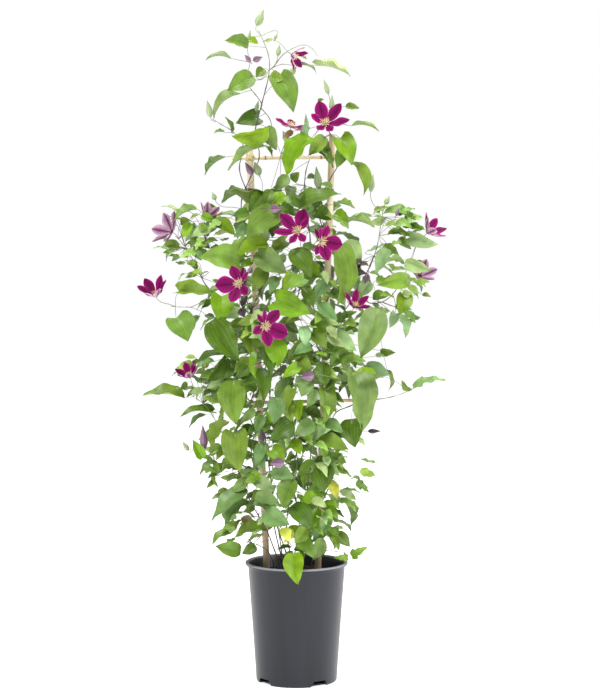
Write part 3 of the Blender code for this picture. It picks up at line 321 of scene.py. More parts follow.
strew, given = node_tree("strew_crumbs", {"Forms": "Collection", "Finish": "Material", "Density": "Float",
                                          "Smallest": "Float", "Largest": "Float", "Seed": "Int"})
upward = add(strew, "GeometryNodeInputNormal")
height = add(strew, "ShaderNodeSeparateXYZ", {"Vector": upward}, out="Z")
on_top = add(strew, "FunctionNodeCompare", {"A": height, "B": 0.5}, operation="GREATER_THAN")
spots = add(strew, "GeometryNodeDistributePointsOnFaces", {
    "Mesh": given["Geometry"], "Selection": on_top, "Density": given["Density"], "Seed": given["Seed"]})
forms = add(strew, "GeometryNodeCollectionInfo", {
    "Collection": given["Forms"], "Separate Children": True, "Reset Children": True})
turn = add(strew, "FunctionNodeRandomValue", {"Max": (math.tau, math.tau, math.tau), "Seed": given["Seed"]},
           data_type="FLOAT_VECTOR")
size = add(strew, "FunctionNodeRandomValue", {
    "Min": given["Smallest"], "Max": given["Largest"], "Seed": given["Seed"]})
copies = add(strew, "GeometryNodeInstanceOnPoints", {
    "Points": spots, "Instance": forms, "Pick Instance": True, "Rotation": turn, "Scale": size})
end_tree(strew, copies, given["Finish"])

soil_crumbs = mesh_object("soil_crumbs", soil_points[:rim], [f for f in soil_faces if max(f) < rim])
make_with(soil_crumbs, strew, {"Forms": crumb_forms, "Finish": compost, "Density": CRUMBS_PER_METRE,
                               "Smallest": CRUMB_SIZES[0], "Largest": CRUMB_SIZES[1], "Seed": CRUMB_SEED})
settle(soil_crumbs, None, ["soil"], 20)
discard(crumb_forms)

# Canes and rungs
# Two tapering bamboo canes stand in the compost, with two thin rungs behind them. Each has the
# rings of its joints, and a node tree draws its skin along a slightly crooked line.
CANE_RADIUS = 6.2
CANES = {"left": ((-47.7, 12), (-87.0, 1005)), "right": ((33.0, 12), (65.3, 1005))}
RUNG_RADIUS = 3.5
RUNGS = {"top": ((-118, 963.5), (86, 966)), "low": ((-104, 513), (104, 518))}
SEAT_GAP = 0.3
RUNG_DEPTH = CANE_RADIUS + RUNG_RADIUS + SEAT_GAP
CANE_SIDES = 24
CANE_JOINTS = 4
RUNG_JOINTS = 2
CANE_CROOK = 0.5
RUNG_CROOK = 0.2
CANE_BENDS = 3
# Share of each length of cane at which its joint sits, and of its thickness that is left at its top
JOINT_AT = 0.6
CANE_TAPER = 0.94
# Profile of a joint along the cane: distance from its middle and added radius
JOINT_PROFILE = ((-7, -0.1), (-3.2, 0.1), (-1.6, 0.5), (-0.8, 0.1), (-0.2, -0.15), (0.6, 0.1), (2, 0.45),
                 (4, 0.1), (8, -0.1))
# How far from the middle of a joint its skin is dark: share of the radius, and millimetres more
JOINT_DARK = (1.06, 0.3)

sweep, given = node_tree("skin_along_lines", {"Sides": "Int", "Finish": "Material"})
lines = add(sweep, "GeometryNodeMeshToCurve", {"Mesh": given["Geometry"]})
ring = add(sweep, "GeometryNodeCurvePrimitiveCircle", {"Resolution": given["Sides"], "Radius": 1.0})
girth = add(sweep, "GeometryNodeInputNamedAttribute", {"Name": "girth"}, data_type="FLOAT")
skin = add(sweep, "GeometryNodeCurveToMesh", {
    "Curve": lines, "Profile Curve": ring, "Scale": girth, "Fill Caps": True})
end_tree(sweep, skin, given["Finish"])


def store(made, name, kind, values):
    """Stores values on the points of a piece, for its node tree or its material."""
    field = {"FLOAT_VECTOR": "vector", "FLOAT_COLOR": "color"}.get(kind, "value")
    made.data.attributes.new(name, kind, "POINT").data.foreach_set(field, values)


def swept(name, ways, sides, look):
    """Tubes along lines, in one object. Each way is a list of (point, radius) in millimetres."""
    points = []
    edges = []
    for way in ways:
        edges.extend((len(points) + step, len(points) + step + 1) for step in range(len(way) - 1))
        points.extend(point for point, _ in way)
    made = mesh_object(name, points, [], edges)
    store(made, "girth", "FLOAT", [radius * MM for way in ways for _, radius in way])
    return make_with(made, sweep, {"Sides": sides, "Finish": look})


# Bamboo cane: straw-coloured skin with fine lengthwise fibres, browner patches, dark rings in its
# joints, a foot stained brown by the wet compost, and a dry waxy gloss
bamboo, tree = new_look("dried_bamboo_cane")
place = add(tree, "ShaderNodeTexCoord", out="Object")
patch = add(tree, "ShaderNodeTexNoise", {"Vector": place, "Scale": 14.0, "Detail": 3.0})
drawn = add(tree, "ShaderNodeMapping", {"Vector": place, "Scale": (1, 1, 0.03)})
fibre = add(tree, "ShaderNodeTexNoise", {"Vector": drawn, "Scale": 1100.0, "Detail": 2.0})
tint = add(tree, "ShaderNodeMix", {"Factor": 0.35, "A": patch, "B": fibre})
colour = add(tree, "ShaderNodeValToRGB", {"Fac": tint}, stops=((0.34, "D0AC7E"), (0.62, "FFF2D8")))
hollow = add(tree, "ShaderNodeAttribute", out="Fac", attribute_name="joint")
ringed = add(tree, "ShaderNodeMix", {"Factor": hollow, "A": colour, "B": linear("6B4A2C")}, data_type="RGBA")
height = add(tree, "ShaderNodeSeparateXYZ", {"Vector": place}, out="Z")
damp = add(tree, "ShaderNodeMapRange", {
    "Value": height, "From Min": 0.2, "From Max": 0.36, "To Min": 0.75, "To Max": 0.0})
stained = add(tree, "ShaderNodeMix", {"Factor": damp, "A": ringed, "B": linear("80543A")}, data_type="RGBA")
bump = add(tree, "ShaderNodeBump", {"Strength": 0.25, "Distance": 0.0004, "Height": fibre})
add(tree, "Principled BSDF", {"Base Color": stained, "Roughness": 0.5, "Normal": bump})


def make_cane(name, low, high, radius, joints, crook):
    """A cane from low to high, with its joints and a slight bow."""
    way = high - low
    along = way.normalized()
    rows = [(0.0, radius)]
    for joint in range(joints):
        middle = way.length * (joint + JOINT_AT) / joints
        rows.extend((middle + step, radius + swell * radius / CANE_RADIUS) for step, swell in JOINT_PROFILE)
    rows.append((way.length, radius * CANE_TAPER))
    bow = Vector((0, 1, 0)).cross(along) * crook
    line = []
    for reach, size in rows:
        share = reach / way.length
        line.append((low + along * reach + bow * math.sin(share * math.pi * CANE_BENDS) / 2, size))
    cane = swept(name + "_bamboo", [line], CANE_SIDES, bamboo)
    middles = [low + way * (joint + JOINT_AT) / joints for joint in range(joints)]
    dark = radius * JOINT_DARK[0] + JOINT_DARK[1]
    rings = [min((v.co / MM - middle).length for middle in middles) < dark for v in cane.data.vertices]
    store(cane, "joint", "FLOAT", [1.0 if ring else 0.0 for ring in rings])
    settle(cane, None, [name], 50)


def cane_at(name, height):
    """The middle of a cane at a height."""
    (low_across, low), (high_across, high) = CANES[name]
    share = (height - low) / (high - low)
    return Vector((low_across + (high_across - low_across) * share, 0, height))


for kind, ways, depth, radius, joints, crook in (
        ("cane_", CANES, 0, CANE_RADIUS, CANE_JOINTS, CANE_CROOK),
        ("rung_", RUNGS, RUNG_DEPTH, RUNG_RADIUS, RUNG_JOINTS, RUNG_CROOK)):
    for name, ends in ways.items():
        low, high = (Vector((across, depth, height)) for across, height in ends)
        make_cane(kind + name, low, high, radius, joints, crook)

# Ties
# Jute garden twine, wound crosswise round each cane and the rung behind it and knotted, with two
# short ends that hang free in front.
TIE_RADIUS = 0.9
TIE_STEPS = 72
TIE_TURNS = 3
TIE_SLACK = 0.3
# How far the turns lie apart, as a share of their thickness, and how far they stand out sideways
TIE_SPACING = 0.8
TIE_REACH = CANE_RADIUS + 2.4
TIE_SIDES = 6
# A loose end as (sideways, down), how it comes forward, and how thick it is as a share of the twine
TIE_END = ((0, -1.5), (2, 0.5), (4, 3), (5, 6.5), (4.6, 10))
END_FORWARD = 0.6
END_SHARE = 0.85
# The knot: how far it stands out in front, its reach sideways and forward, the points on its line,
# and how thick it is as a share of the twine
KNOT_OUT = 0.8
KNOT_REACH = (1.4, 0.8)
KNOT_POINTS = 7
KNOT_SHARE = 1.1

# Jute twine: pale straw, dull, with the slanting ridges of its strands
twine, tree = new_look("natural_jute_twine")
place = add(tree, "ShaderNodeTexCoord", out="Object")
strand = add(tree, "ShaderNodeTexWave", {"Vector": place, "Scale": 420.0, "Distortion": 1.5}, out="Fac",
             bands_direction="DIAGONAL")
colour = add(tree, "ShaderNodeValToRGB", {"Fac": strand}, stops=((0.0, "B3A05E"), (1.0, "EFE6B8")))
bump = add(tree, "ShaderNodeBump", {"Strength": 0.6, "Distance": 0.0004, "Height": strand})
add(tree, "Principled BSDF", {"Base Color": colour, "Roughness": 0.9, "Normal": bump})


def make_tie(name, middle):
    """Twine wound on both diagonals round a cane and its rung, with a knot and two ends."""
    deep = (CANE_RADIUS + RUNG_DEPTH + RUNG_RADIUS) / 2 + TIE_RADIUS + TIE_SLACK
    centre = middle + Vector((0, (RUNG_DEPTH + RUNG_RADIUS - CANE_RADIUS) / 2, 0))
    ways = []
    for rise in (1, -1):
        slope = Vector((1, 0, rise)).normalized()
        aside = slope.cross(Vector((0, 1, 0)))
        line = []
        for step in range(TIE_STEPS + 1):
            angle = math.tau * TIE_TURNS * step / TIE_STEPS
            shift = (step / TIE_STEPS - 0.5) * 2 * TIE_RADIUS * TIE_TURNS * TIE_SPACING
            out = Vector((0, math.cos(angle) * deep, 0)) + slope * math.sin(angle) * TIE_REACH
            line.append((centre + out + aside * shift, TIE_RADIUS))
        ways.append(line)
    front = centre - Vector((0, deep + KNOT_OUT, 0))
    for side in (-1, 1):
        end = [front + Vector((side * out, -END_FORWARD * out ** 0.5, -drop)) for out, drop in TIE_END]
        ways.append([(point, TIE_RADIUS * END_SHARE) for point in end])
    wide, thick = KNOT_REACH
    knot = [front + Vector((math.cos(turn) * wide, math.sin(turn) * thick, math.sin(turn * 2)))
            for turn in range(KNOT_POINTS)]
    ways.append([(point, TIE_RADIUS * KNOT_SHARE) for point in knot])
    settle(swept(name + "_twine", ways, TIE_SIDES, twine), None, [name], 60)


for name, ((low_x, low_z), (high_x, high_z)) in RUNGS.items():
    for side in CANES:
        across = cane_at(side, (low_z + high_z) / 2).x
        height = low_z + (high_z - low_z) * (across - low_x) / (high_x - low_x)
        make_tie("tie_%s_%s" % (name, side), Vector((across, 0, height)))

# Stems
# Wiry woody stems, purple-brown above and greener below. Each stands in the compost, then twines
# round a cane or climbs free, and its side shoots start at its nodes. They are set out by the
# same rules as in the solids, in a stout form that keeps room for each, and are then drawn finer.
EYE_DISTANCE = 3400
EYE_HEIGHT = 790
LEAF_GAP = 0.6
STEM_RADIUS = 2.0
STEM_TIP_RADIUS = 1.4
BRANCH_RADIUS = 1.25
BRANCH_TIP_RADIUS = 1.125
STEM_SIDES = 4
TWINE_RADIUS = 20
TWINE_HEIGHT = 515.5
TWINE_PITCH = 224.4
TWINE_STEPS = 6
# How far a stem goes down into the compost, and how far above it its upright foot and first node are
STEM_DEPTH = 30
STEM_FOOT = 6
FIRST_NODE = 12
STEM_SPACING = 38
NEAR_ROOT = 12
STEM_SKIN_SIDES = 8
FINE_SPACING = 9
# How much finer the stems are than in the solids, which are kept stout enough to handle
STEM_FINENESS = 0.6
# A stem's tip: what is left of its girth, and the points over which it thins. At a node: how much
# it swells, as a share of its radius, and how far that reaches
STEM_END = 0.25
TIP_POINTS = 16
NODE_SWELL = 0.3
NODE_REACH = 5

# Shoots: hole (across, depth), cane and the angle at which the stem passes the low rung, how
# high it twines, the rest of its way, and its side branches
SHOOTS = {
    "crown": dict(
        hole=(-22, -14), cane="left", turn=330, start=291, reach=965,
        way=((-75, 1016, -14), (-71, 1033, -12), (-63, 1064, -8), (-56, 1090, -6), (-51, 1112, -4),
             (-49, 1134, -2), (-52, 1154, 0), (-60, 1175, 0), (-69, 1195, 2)),
        side=(((-63, 1060, -8), (-75, 1079, -14), (-87, 1094, -16), (-91, 1108, -16), (-86, 1130, -14),
               (-86, 1145, -12)),
              ((-56, 1081, -6), (-47, 1092, -14), (-38, 1099, -20)),
              ((-51, 1116, -4), (-41, 1130, -6), (-34, 1140, -6), (-25, 1151, -6), (-8, 1162, 0),
               (14, 1169, 6), (29, 1162, 8), (38, 1149, 8)),
              ((-43, 1129, -6), (-27, 1134, 0), (-8, 1132, 4), (8, 1132, 6)),
              ((-51, 1114, -4), (-63, 1106, -8), (-75, 1105, -12), (-86, 1103, -14)),
              ((-62, 1057, -8), (-49, 1035, -2), (-41, 1002, 2), (-32, 980, 0), (-25, 961, -4)))),
    "left_top": dict(
        hole=(-8, -20), cane="left", turn=210, start=347, reach=985,
        way=((-108, 1003, -14), (-122, 1016, -12), (-137, 1024, -10), (-154, 1035, -10)),
        side=(((-96, 988, -18), (-84, 1003, -28), (-63, 1014, -30), (-45, 1018, -24)),)),
    "left_wing": dict(
        hole=(-24, 10), cane="",
        way=((-32, 270, 28), (-46, 360, 38), (-60, 470, 42), (-70, 560, 40), (-82, 625, 30),
             (-106, 668, 16), (-137, 704, 6), (-165, 729, 2), (-181, 759, -2), (-196, 788, -4),
             (-211, 810, -6), (-222, 821, -6)),
        side=(((-150, 706, 4), (-190, 692, -4), (-214, 691, -8), (-231, 692, -10)),
              ((-190, 773, -4), (-174, 803, -6), (-159, 829, -8), (-148, 847, -8)))),
    "left_low": dict(
        hole=(-26, -28), cane="",
        way=((-56, 280, -34), (-82, 326, -38), (-104, 380, -38), (-124, 431, -34), (-144, 472, -28),
             (-163, 503, -20), (-181, 520, -14), (-198, 531, -12)),
        side=(((-126, 435, -34), (-144, 424, -30), (-167, 413, -26), (-185, 424, -20), (-198, 429, -12)),
              ((-108, 387, -38), (-130, 387, -32), (-152, 376, -26)))),
    "right_top": dict(
        hole=(8, -12), cane="right", turn=330, start=441, reach=985,
        way=((56, 1020, -16), (62, 1038, -10), (63, 1057, -8)),
        side=(((60, 1030, -12), (76, 1027, -4), (91, 1024, 0)),)),
    "right_wing": dict(
        hole=(14, 4), cane="right", turn=210, start=273, reach=640,
        way=((80, 670, -10), (102, 704, 0), (117, 733, 2), (135, 766, 0), (148, 803, -2), (154, 840, 0),
             (159, 869, 2)),
        side=(((106, 709, 0), (135, 698, 0), (165, 704, -4), (187, 729, -6), (205, 766, -6),
               (216, 796, -2), (224, 814, 0)),)),
    "right_low": dict(
        hole=(6, 22), cane="right", turn=90, start=329, reach=480,
        way=((73, 497, 12), (98, 508, 8), (124, 520, 2), (150, 521, 0), (174, 525, 0), (196, 532, 0),
             (213, 540, -2)),
        side=()),
    "front": dict(
        hole=(-4, -34), cane="",
        way=((-19, 280, -44), (-12, 336, -50), (1, 400, -54), (-6, 464, -52), (-23, 529, -50),
             (-30, 589, -50), (-23, 648, -50), (-8, 704, -48), (6, 755, -46), (17, 792, -44)),
        side=()),
    "back": dict(
        hole=(-8, 30), cane="",
        way=((5, 299, 44), (-8, 372, 48), (6, 446, 50), (25, 520, 50), (10, 593, 48), (-5, 667, 46),
             (10, 740, 46), (25, 814, 44), (14, 888, 40), (17, 939, 36), (27, 976, 32), (20, 1010, 30)),
        side=()),
    "skirt_left": dict(
        hole=(-40, -14), cane="",
        way=((-52, 238, -26), (-70, 250, -34), (-89, 256, -40), (-104, 255, -42)), side=()),
    "skirt_right": dict(
        hole=(24, -22), cane="",
        way=((36, 234, -26), (55, 240, -28), (76, 238, -26), (98, 236, -26)), side=()),
}

# What has been placed so far: box corners, search tree, owner, and the root of a stalk
PLACED = []
# For each shoot, the places on its stems that stalks may grow from, and the lines of its stems
NODES = {name: [] for name in SHOOTS}
STEM_LINES = {name: [] for name in SHOOTS}


def seen(across, height, depth):
    """The point at this depth that the eye sees at this place on the plane through the pot's axis."""
    nearer = 1 + depth / EYE_DISTANCE
    return Vector((across * nearer, depth, EYE_HEIGHT + (height - EYE_HEIGHT) * nearer))


def smooth(points, spacing):
    """A smooth curve through the points, read at about the given spacing."""
    ends = [points[0] * 2 - points[1], *points, points[-1] * 2 - points[-2]]
    read = [points[0]]
    for before, start, end, after in zip(ends, ends[1:], ends[2:], ends[3:]):
        pieces = max(1, round((end - start).length / spacing))
        reach = (end - start).length / 3
        leave = (end - before).normalized() * reach
        arrive = (after - start).normalized() * reach
        read.extend(interpolate_bezier(start, start + leave, end - arrive, end, pieces + 1)[1:])
    return read


def tube(points, radii, sides):
    """A closed tube through the points, with a radius at each."""
    tangents = [(b - a).normalized() for a, b in zip(points, points[1:])]
    tangents = [tangents[0], *((a + b).normalized() for a, b in zip(tangents, tangents[1:])), tangents[-1]]
    across = tangents[0].orthogonal().normalized()
    made = []
    for index, (point, tangent, radius) in enumerate(zip(points, tangents, radii)):
        if index:
            across = tangents[index - 1].rotation_difference(tangent) @ across
        across = (across - tangent * across.dot(tangent)).normalized()
        other = tangent.cross(across)
        for step in range(sides):
            angle = math.tau * step / sides
            made.append(point + (across * math.cos(angle) + other * math.sin(angle)) * radius)
    faces = [list(range(sides))[::-1]]
    for low in range(0, (len(points) - 1) * sides, sides):
        high = low + sides
        for step in range(sides):
            after = (step + 1) % sides
            faces.append([low + step, low + after, high + after, high + step])
    faces.append(list(range(high, high + sides)))
    return made, faces


def box_of(points):
    """The low and the high corner of the box round the points."""
    columns = list(zip(*points))
    return [min(c) for c in columns], [max(c) for c in columns]


def remember(points, faces, owner, root=None):
    """Remembers a shape as something that what comes later may not grow through."""
    low, high = box_of(points)
    PLACED.append((low, high, BVHTree.FromPolygons(points, faces), owner, root))


def remember_node(name):
    """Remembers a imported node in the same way."""
    mesh = frame["nodes"][name].data
    faces = [list(face.vertices) for face in mesh.polygons]
    remember([vertex.co / MM for vertex in mesh.vertices], faces, name)


def blocked(points, faces, owner="", root=None):
    """Says whether the shape crosses something other than its own stem and the stalks of its root."""
    low, high = box_of(points)
    tree = None
    for other_low, other_high, other, other_owner, other_root in PLACED:
        if other_owner == owner and other_root in ("stem", root):
            continue
        if any(low[i] > other_high[i] or high[i] < other_low[i] for i in range(3)):
            continue
        tree = tree or BVHTree.FromPolygons(points, faces)
        if tree.overlap(other):
            return True
    return False


def shoot_way(shoot):
    """The middle line of a shoot's main stem, from the bottom of its hole upwards."""
    across, depth = shoot["hole"]
    way = [Vector((across, depth, SOIL_TOP - STEM_DEPTH)), Vector((across, depth, SOIL_TOP + STEM_FOOT))]
    if shoot["cane"]:
        height = shoot["start"]
        while height <= shoot["reach"]:
            angle = math.radians(shoot["turn"]) + math.tau * (height - TWINE_HEIGHT) / TWINE_PITCH
            way.append(cane_at(shoot["cane"], height) + level(angle) * TWINE_RADIUS)
            height += TWINE_PITCH / TWINE_STEPS
    way.extend(seen(*place) for place in shoot["way"])
    return [way[0], *smooth(way[1:], STEM_SPACING)]


def fine_line(points, radius, tip_radius, swell=0.0):
    """A finer line through the points, with a radius at each. A stem swells at each node and ends thin."""
    read = smooth(points, FINE_SPACING)
    line = []
    for index, point in enumerate(read):
        size = radius + (tip_radius - radius) * index / (len(read) - 1)
        if swell:
            size *= min(1.0, STEM_END + (len(read) - index) / TIP_POINTS)
        near = min((point - node).length for node in points)
        line.append((point, (size + swell * max(0.0, 1 - near / NODE_REACH)) * STEM_FINENESS))
    return line


def grow_stem(name, points, radius, tip_radius):
    """Adds a stem to a shoot, with its nodes."""
    radii = [radius + (tip_radius - radius) * index / (len(points) - 1) for index in range(len(points))]
    remember(*tube(points, radii, STEM_SIDES), name, "stem")
    STEM_LINES[name].append(fine_line(points, radius, tip_radius, radius * NODE_SWELL))
    middles = [(before + after) / 2 for before, after in zip(points, points[1:])]
    NODES[name].extend(middle for middle in middles if middle.z > SOIL_TOP + FIRST_NODE)


for name in ("pot", "soil", *(node for node in frame["nodes"] if node.startswith(("cane", "rung", "tie")))):
    remember_node(name)
for name, shoot in SHOOTS.items():
    grow_stem(name, shoot_way(shoot), STEM_RADIUS, STEM_TIP_RADIUS)
for name, shoot in SHOOTS.items():
    for side in shoot["side"]:
        way = smooth([seen(*place) for place in side], STEM_SPACING)
        root = min(NODES[name], key=lambda node: (node - way[0]).length)
        way = [root, *way[1:]] if (root - way[0]).length < NEAR_ROOT else [root, *way]
        grow_stem(name, way, BRANCH_RADIUS, BRANCH_TIP_RADIUS)


# Blooms
# Star blooms of five or six tepals, carmine inside with a paler rim and a dark midrib, and pale
# and striped outside, round a tuft of cream stamens. Each tepal starts at the edge of a small
# disc, and those of half-open blooms are raised into a cup.
FLOWER_DISC = 4.0
# Share of the disc at which a tepal starts, its width as a share of the span of the bloom, and how
# far every second tepal lies in front
TEPAL_START = 0.8
TEPAL_WIDTH = 0.25
TEPAL_LAP = 0.12
TEPAL_COLUMNS = 4
# Place of the centre (across, height, depth), way it faces, turn of the first tepal, span, number
# of tepals, and how far they are raised in degrees
FLOWERS = {
    "flower_top_right": ((53, 1025, -34), (-0.05, -0.85, 0.50), 107, 92, 6, 26),
    "flower_crown": ((-8, 1151, -24), (0.75, -0.30, -0.45), 60, 64, 5, 40),
    "flower_top_middle": ((-10, 1020, -26), (0.25, -0.30, 0.90), 20, 66, 5, 14),
    "flower_middle_left": ((3, 829, -66), (-0.12, -0.88, 0.40), 72, 90, 6, 24),
    "flower_middle_right": ((45, 812, -102), (0.25, -0.92, -0.18), 75, 80, 6, 22),
    "flower_left": ((-104, 734, -92), (-0.30, -0.92, 0.10), 112, 86, 6, 24),
    "flower_centre": ((-58, 657, -104), (0.28, -0.94, -0.08), 52, 86, 6, 22),
    "flower_far_left": ((-258, 711, -14), (-0.25, -0.50, 0.80), 60, 84, 6, 46),
    "flower_wing_left": ((-229, 829, -22), (-0.60, 0.35, 0.35), 30, 82, 6, 30),
    "flower_wing_left_back": ((-163, 856, -6), (0.30, 0.25, 0.80), 15, 64, 6, 46),
    "flower_wing_right": ((240, 827, -10), (0.60, -0.35, 0.60), 80, 76, 6, 46),
    "flower_wing_right_back": ((227, 748, -4), (0.35, 0.62, 0.60), 40, 70, 6, 34),
    "flower_right": ((106, 691, -62), (0.30, -0.60, 0.65), 95, 68, 6, 42),
    "flower_low_left": ((-196, 562, -22), (-0.30, -0.40, 0.80), 100, 64, 6, 46),
}
# Blooms that face the viewer: turn of each tepal as seen in degrees, and its shares of full width
# and length
TEPAL_TURNS = {
    "flower_top_right": (
        (109, 1.05, 0.98), (43, 0.9, 1.03), (-3, 0.72, 1.05), (-55, 0.66, 0.6), (-130, 0.66, 0.58),
        (155, 0.66, 0.7)),
    "flower_middle_left": (
        (70, 1.25, 0.95), (42, 0.6, 0.7), (141, 0.98, 1.02), (190, 0.64, 1.04), (243, 0.6, 0.72),
        (301, 0.66, 0.68)),
    "flower_middle_right": (
        (72, 0.9, 0.84), (-7, 1.4, 0.98), (-74, 1.05, 0.95), (-117, 0.62, 0.7), (120, 0.36, 0.8),
        (101, 0.34, 0.76)),
    "flower_left": (
        (108, 0.95, 0.84), (188, 1.45, 1.04), (253, 1.08, 0.92), (310, 0.76, 0.74), (70, 0.36, 0.78),
        (46, 0.36, 0.74)),
    "flower_centre": (
        (52, 0.98, 0.9), (-23, 1.4, 1.04), (-84, 1.0, 0.92), (-153, 0.72, 0.7), (127, 0.38, 0.7),
        (97, 0.38, 0.74)),
}
# How far a tepal may be raised more in degrees, and twisted in radians, and how light it may be
TEPAL_RAISED = (-4, 5)
TEPAL_TWIST = (-0.16, 0.16)
TEPAL_LIGHT = (0.8, 1.25)
# Blooms raised further than this are cups, with narrower tepals and a closer tuft
NARROW_CUP = 35
NARROW_SHARE = 0.85
STAMENS = 26
STAMEN_SEED = 3
STAMEN_REACH = 14
STAMEN_TURN = 0.382
# How far the outer stamens lean out, in an open bloom and in a cup, and where they all start:
# forward, sideways and how much further sideways when they lean
STAMEN_LEAN = (0.95, 0.55)
STAMEN_FOOT = (0.9, 0.6, 1.6)
# Shares of the full length that a stamen may have, and that an upright one has
STAMEN_SHARES = (0.75, 0.95)
STAMEN_UPRIGHT = 0.7
# Outline of a tepal: share of the midrib, how far along its edge is, and its width there
TEPAL = ((0, 0, 0.34), (0.12, 0.11, 0.42), (0.3, 0.29, 0.76), (0.54, 0.54, 1.02), (0.76, 0.77, 0.84),
         (0.91, 0.92, 0.4), (1, 1, 0.02))
STAMEN = ((0, 0, 0.5), (0.55, 0.55, 0.6), (0.66, 0.66, 1.0), (0.94, 0.94, 0.9), (1, 1, 0.3))
# The disc as (radius, height), and its sides
DISC = ((0, -1.6), (2.4, -1.2), (4.4, 0), (3.4, 0.6), (0, 1.0))
DISC_SIDES = 12


def through(rows, share):
    """Reads a table of rows that begin with a share, smoothly between its rows."""
    spot = min(max(bisect.bisect([row[0] for row in rows], share), 1), len(rows) - 1)
    low, high = rows[spot - 1], rows[spot]
    before, after = rows[max(spot - 2, 0)], rows[min(spot + 1, len(rows) - 1)]
    reach = high[0] - low[0]
    part = (share - low[0]) / reach
    read = []
    for column in range(1, len(low)):
        leave = (high[column] - before[column]) / (high[0] - before[0]) * reach
        arrive = (after[column] - low[column]) / (after[0] - low[0]) * reach
        read.append(low[column] * (1 + 2 * part) * (1 - part) ** 2 + leave * part * (1 - part) ** 2
                    + high[column] * part ** 2 * (3 - 2 * part) + arrive * part ** 2 * (part - 1))
    return read


def flat_place(edge, arch=0.05, fold=0.1, wave=0.0, waves=3.0, droop=0.0, sway=0.0):
    """The surface of a blade that is one long and one wide: arched, folded, waved and bent aside."""
    def place(share, part):
        rim_along, rim_out = through(edge, share)
        along = share + (rim_along - share) * abs(part)
        out = rim_out / 2 * part
        ripple = wave * math.sin(math.tau * waves * share + (1.3 if part > 0 else 0)) * part * part
        rise = arch * 4 * share * (1 - share) + fold * abs(out) + ripple - droop * share ** 3
        return Vector((along, out + sway * math.sin(math.pi * share), rise * min(1, share * 6)))
    return place


def blade_form(name, place, thick, rows=14, columns=4):
    """A closed blade with an upper and a lower face, from the surface between them."""
    wide = 2 * columns + 1
    points = []
    spots = []
    for face in (1, -1):
        for row in range(rows + 1):
            for column in range(wide):
                share, part = row / rows, column / columns - 1
                skin = face * thick / 2 * (1 - 0.6 * part * part)
                points.append(place(share, part) + Vector((0, 0, skin)))
                spots.append((share, 0.5 + part / 2))
    lower = (rows + 1) * wide
    faces = []
    for row in range(rows):
        for column in range(wide - 1):
            corner = row * wide + column
            quad = [corner, corner + wide, corner + wide + 1, corner + 1]
            faces.append(quad)
            faces.append([lower + number for number in reversed(quad)])
    rim = [row * wide for row in range(rows)] + [rows * wide + column for column in range(wide - 1)]
    rim += [lower - 1 - row * wide for row in range(rows)] + list(range(wide - 1, 0, -1))
    for near, far in zip(rim, rim[1:] + rim[:1]):
        faces.append([far, near, near + lower, far + lower])
    made = mesh_object(name, points, faces)
    layer = made.data.uv_layers.new(name="UVMap").data
    for loop in made.data.loops:
        layer[loop.index].uv = spots[loop.vertex_index]
    store(made, "underside", "FLOAT", [0.0] * lower + [1.0] * lower)
    return made


set_out, given = node_tree("set_out_forms", {"Forms": "Collection", "Finish": "Material"})
stored = {name: add(set_out, "GeometryNodeInputNamedAttribute", {"Name": name}, data_type=kind)
          for name, kind in (("turn", "FLOAT_VECTOR"), ("size", "FLOAT_VECTOR"), ("form", "INT"))}
forms = add(set_out, "GeometryNodeCollectionInfo", {
    "Collection": given["Forms"], "Separate Children": True, "Reset Children": True})
copies = add(set_out, "GeometryNodeInstanceOnPoints", {
    "Points": given["Geometry"], "Instance": forms, "Pick Instance": True,
    "Instance Index": stored["form"], "Rotation": stored["turn"], "Scale": stored["size"]})
end_tree(set_out, copies, given["Finish"])


def spread(name, rows, forms, look):
    """Copies of forms, each from a row of start, end, facing, width, depth, form and colour."""
    turns = []
    sizes = []
    for start, end, facing, width, depth, _, _ in rows:
        along = (end - start).normalized()
        up = (facing - along * facing.dot(along)).normalized()
        turns.extend(Matrix((along, up.cross(along), up)).transposed().to_euler())
        sizes.extend(((end - start).length, width, depth))
    made = mesh_object(name, [row[0] for row in rows], [])
    store(made, "turn", "FLOAT_VECTOR", turns)
    store(made, "size", "FLOAT_VECTOR", sizes)
    store(made, "form", "INT", [row[5] for row in rows])
    store(made, "tint", "FLOAT_COLOR", [c for row in rows for c in row[6]])
    return make_with(made, set_out, {"Forms": forms, "Finish": look})


def off_midrib(tree, spot):
    """How far a place on a blade is from its midrib, up to 0.5 at its edge."""
    across = add(tree, "ShaderNodeSeparateXYZ", {"Vector": spot}, out="Y")
    signed = add(tree, "ShaderNodeMath", {0: across, 1: 0.5}, operation="SUBTRACT")
    return add(tree, "ShaderNodeMath", {0: signed}, operation="ABSOLUTE")


def shaded(tree, colour, pattern, least, most, dark, light):
    """The colour, made darker and lighter by a pattern that runs from least to most."""
    shade = add(tree, "ShaderNodeMapRange", {
        "Value": pattern, "From Min": least, "From Max": most, "To Min": dark, "To Max": light})
    return add(tree, "ShaderNodeVectorMath", {0: colour, "Scale": shade}, operation="SCALE")


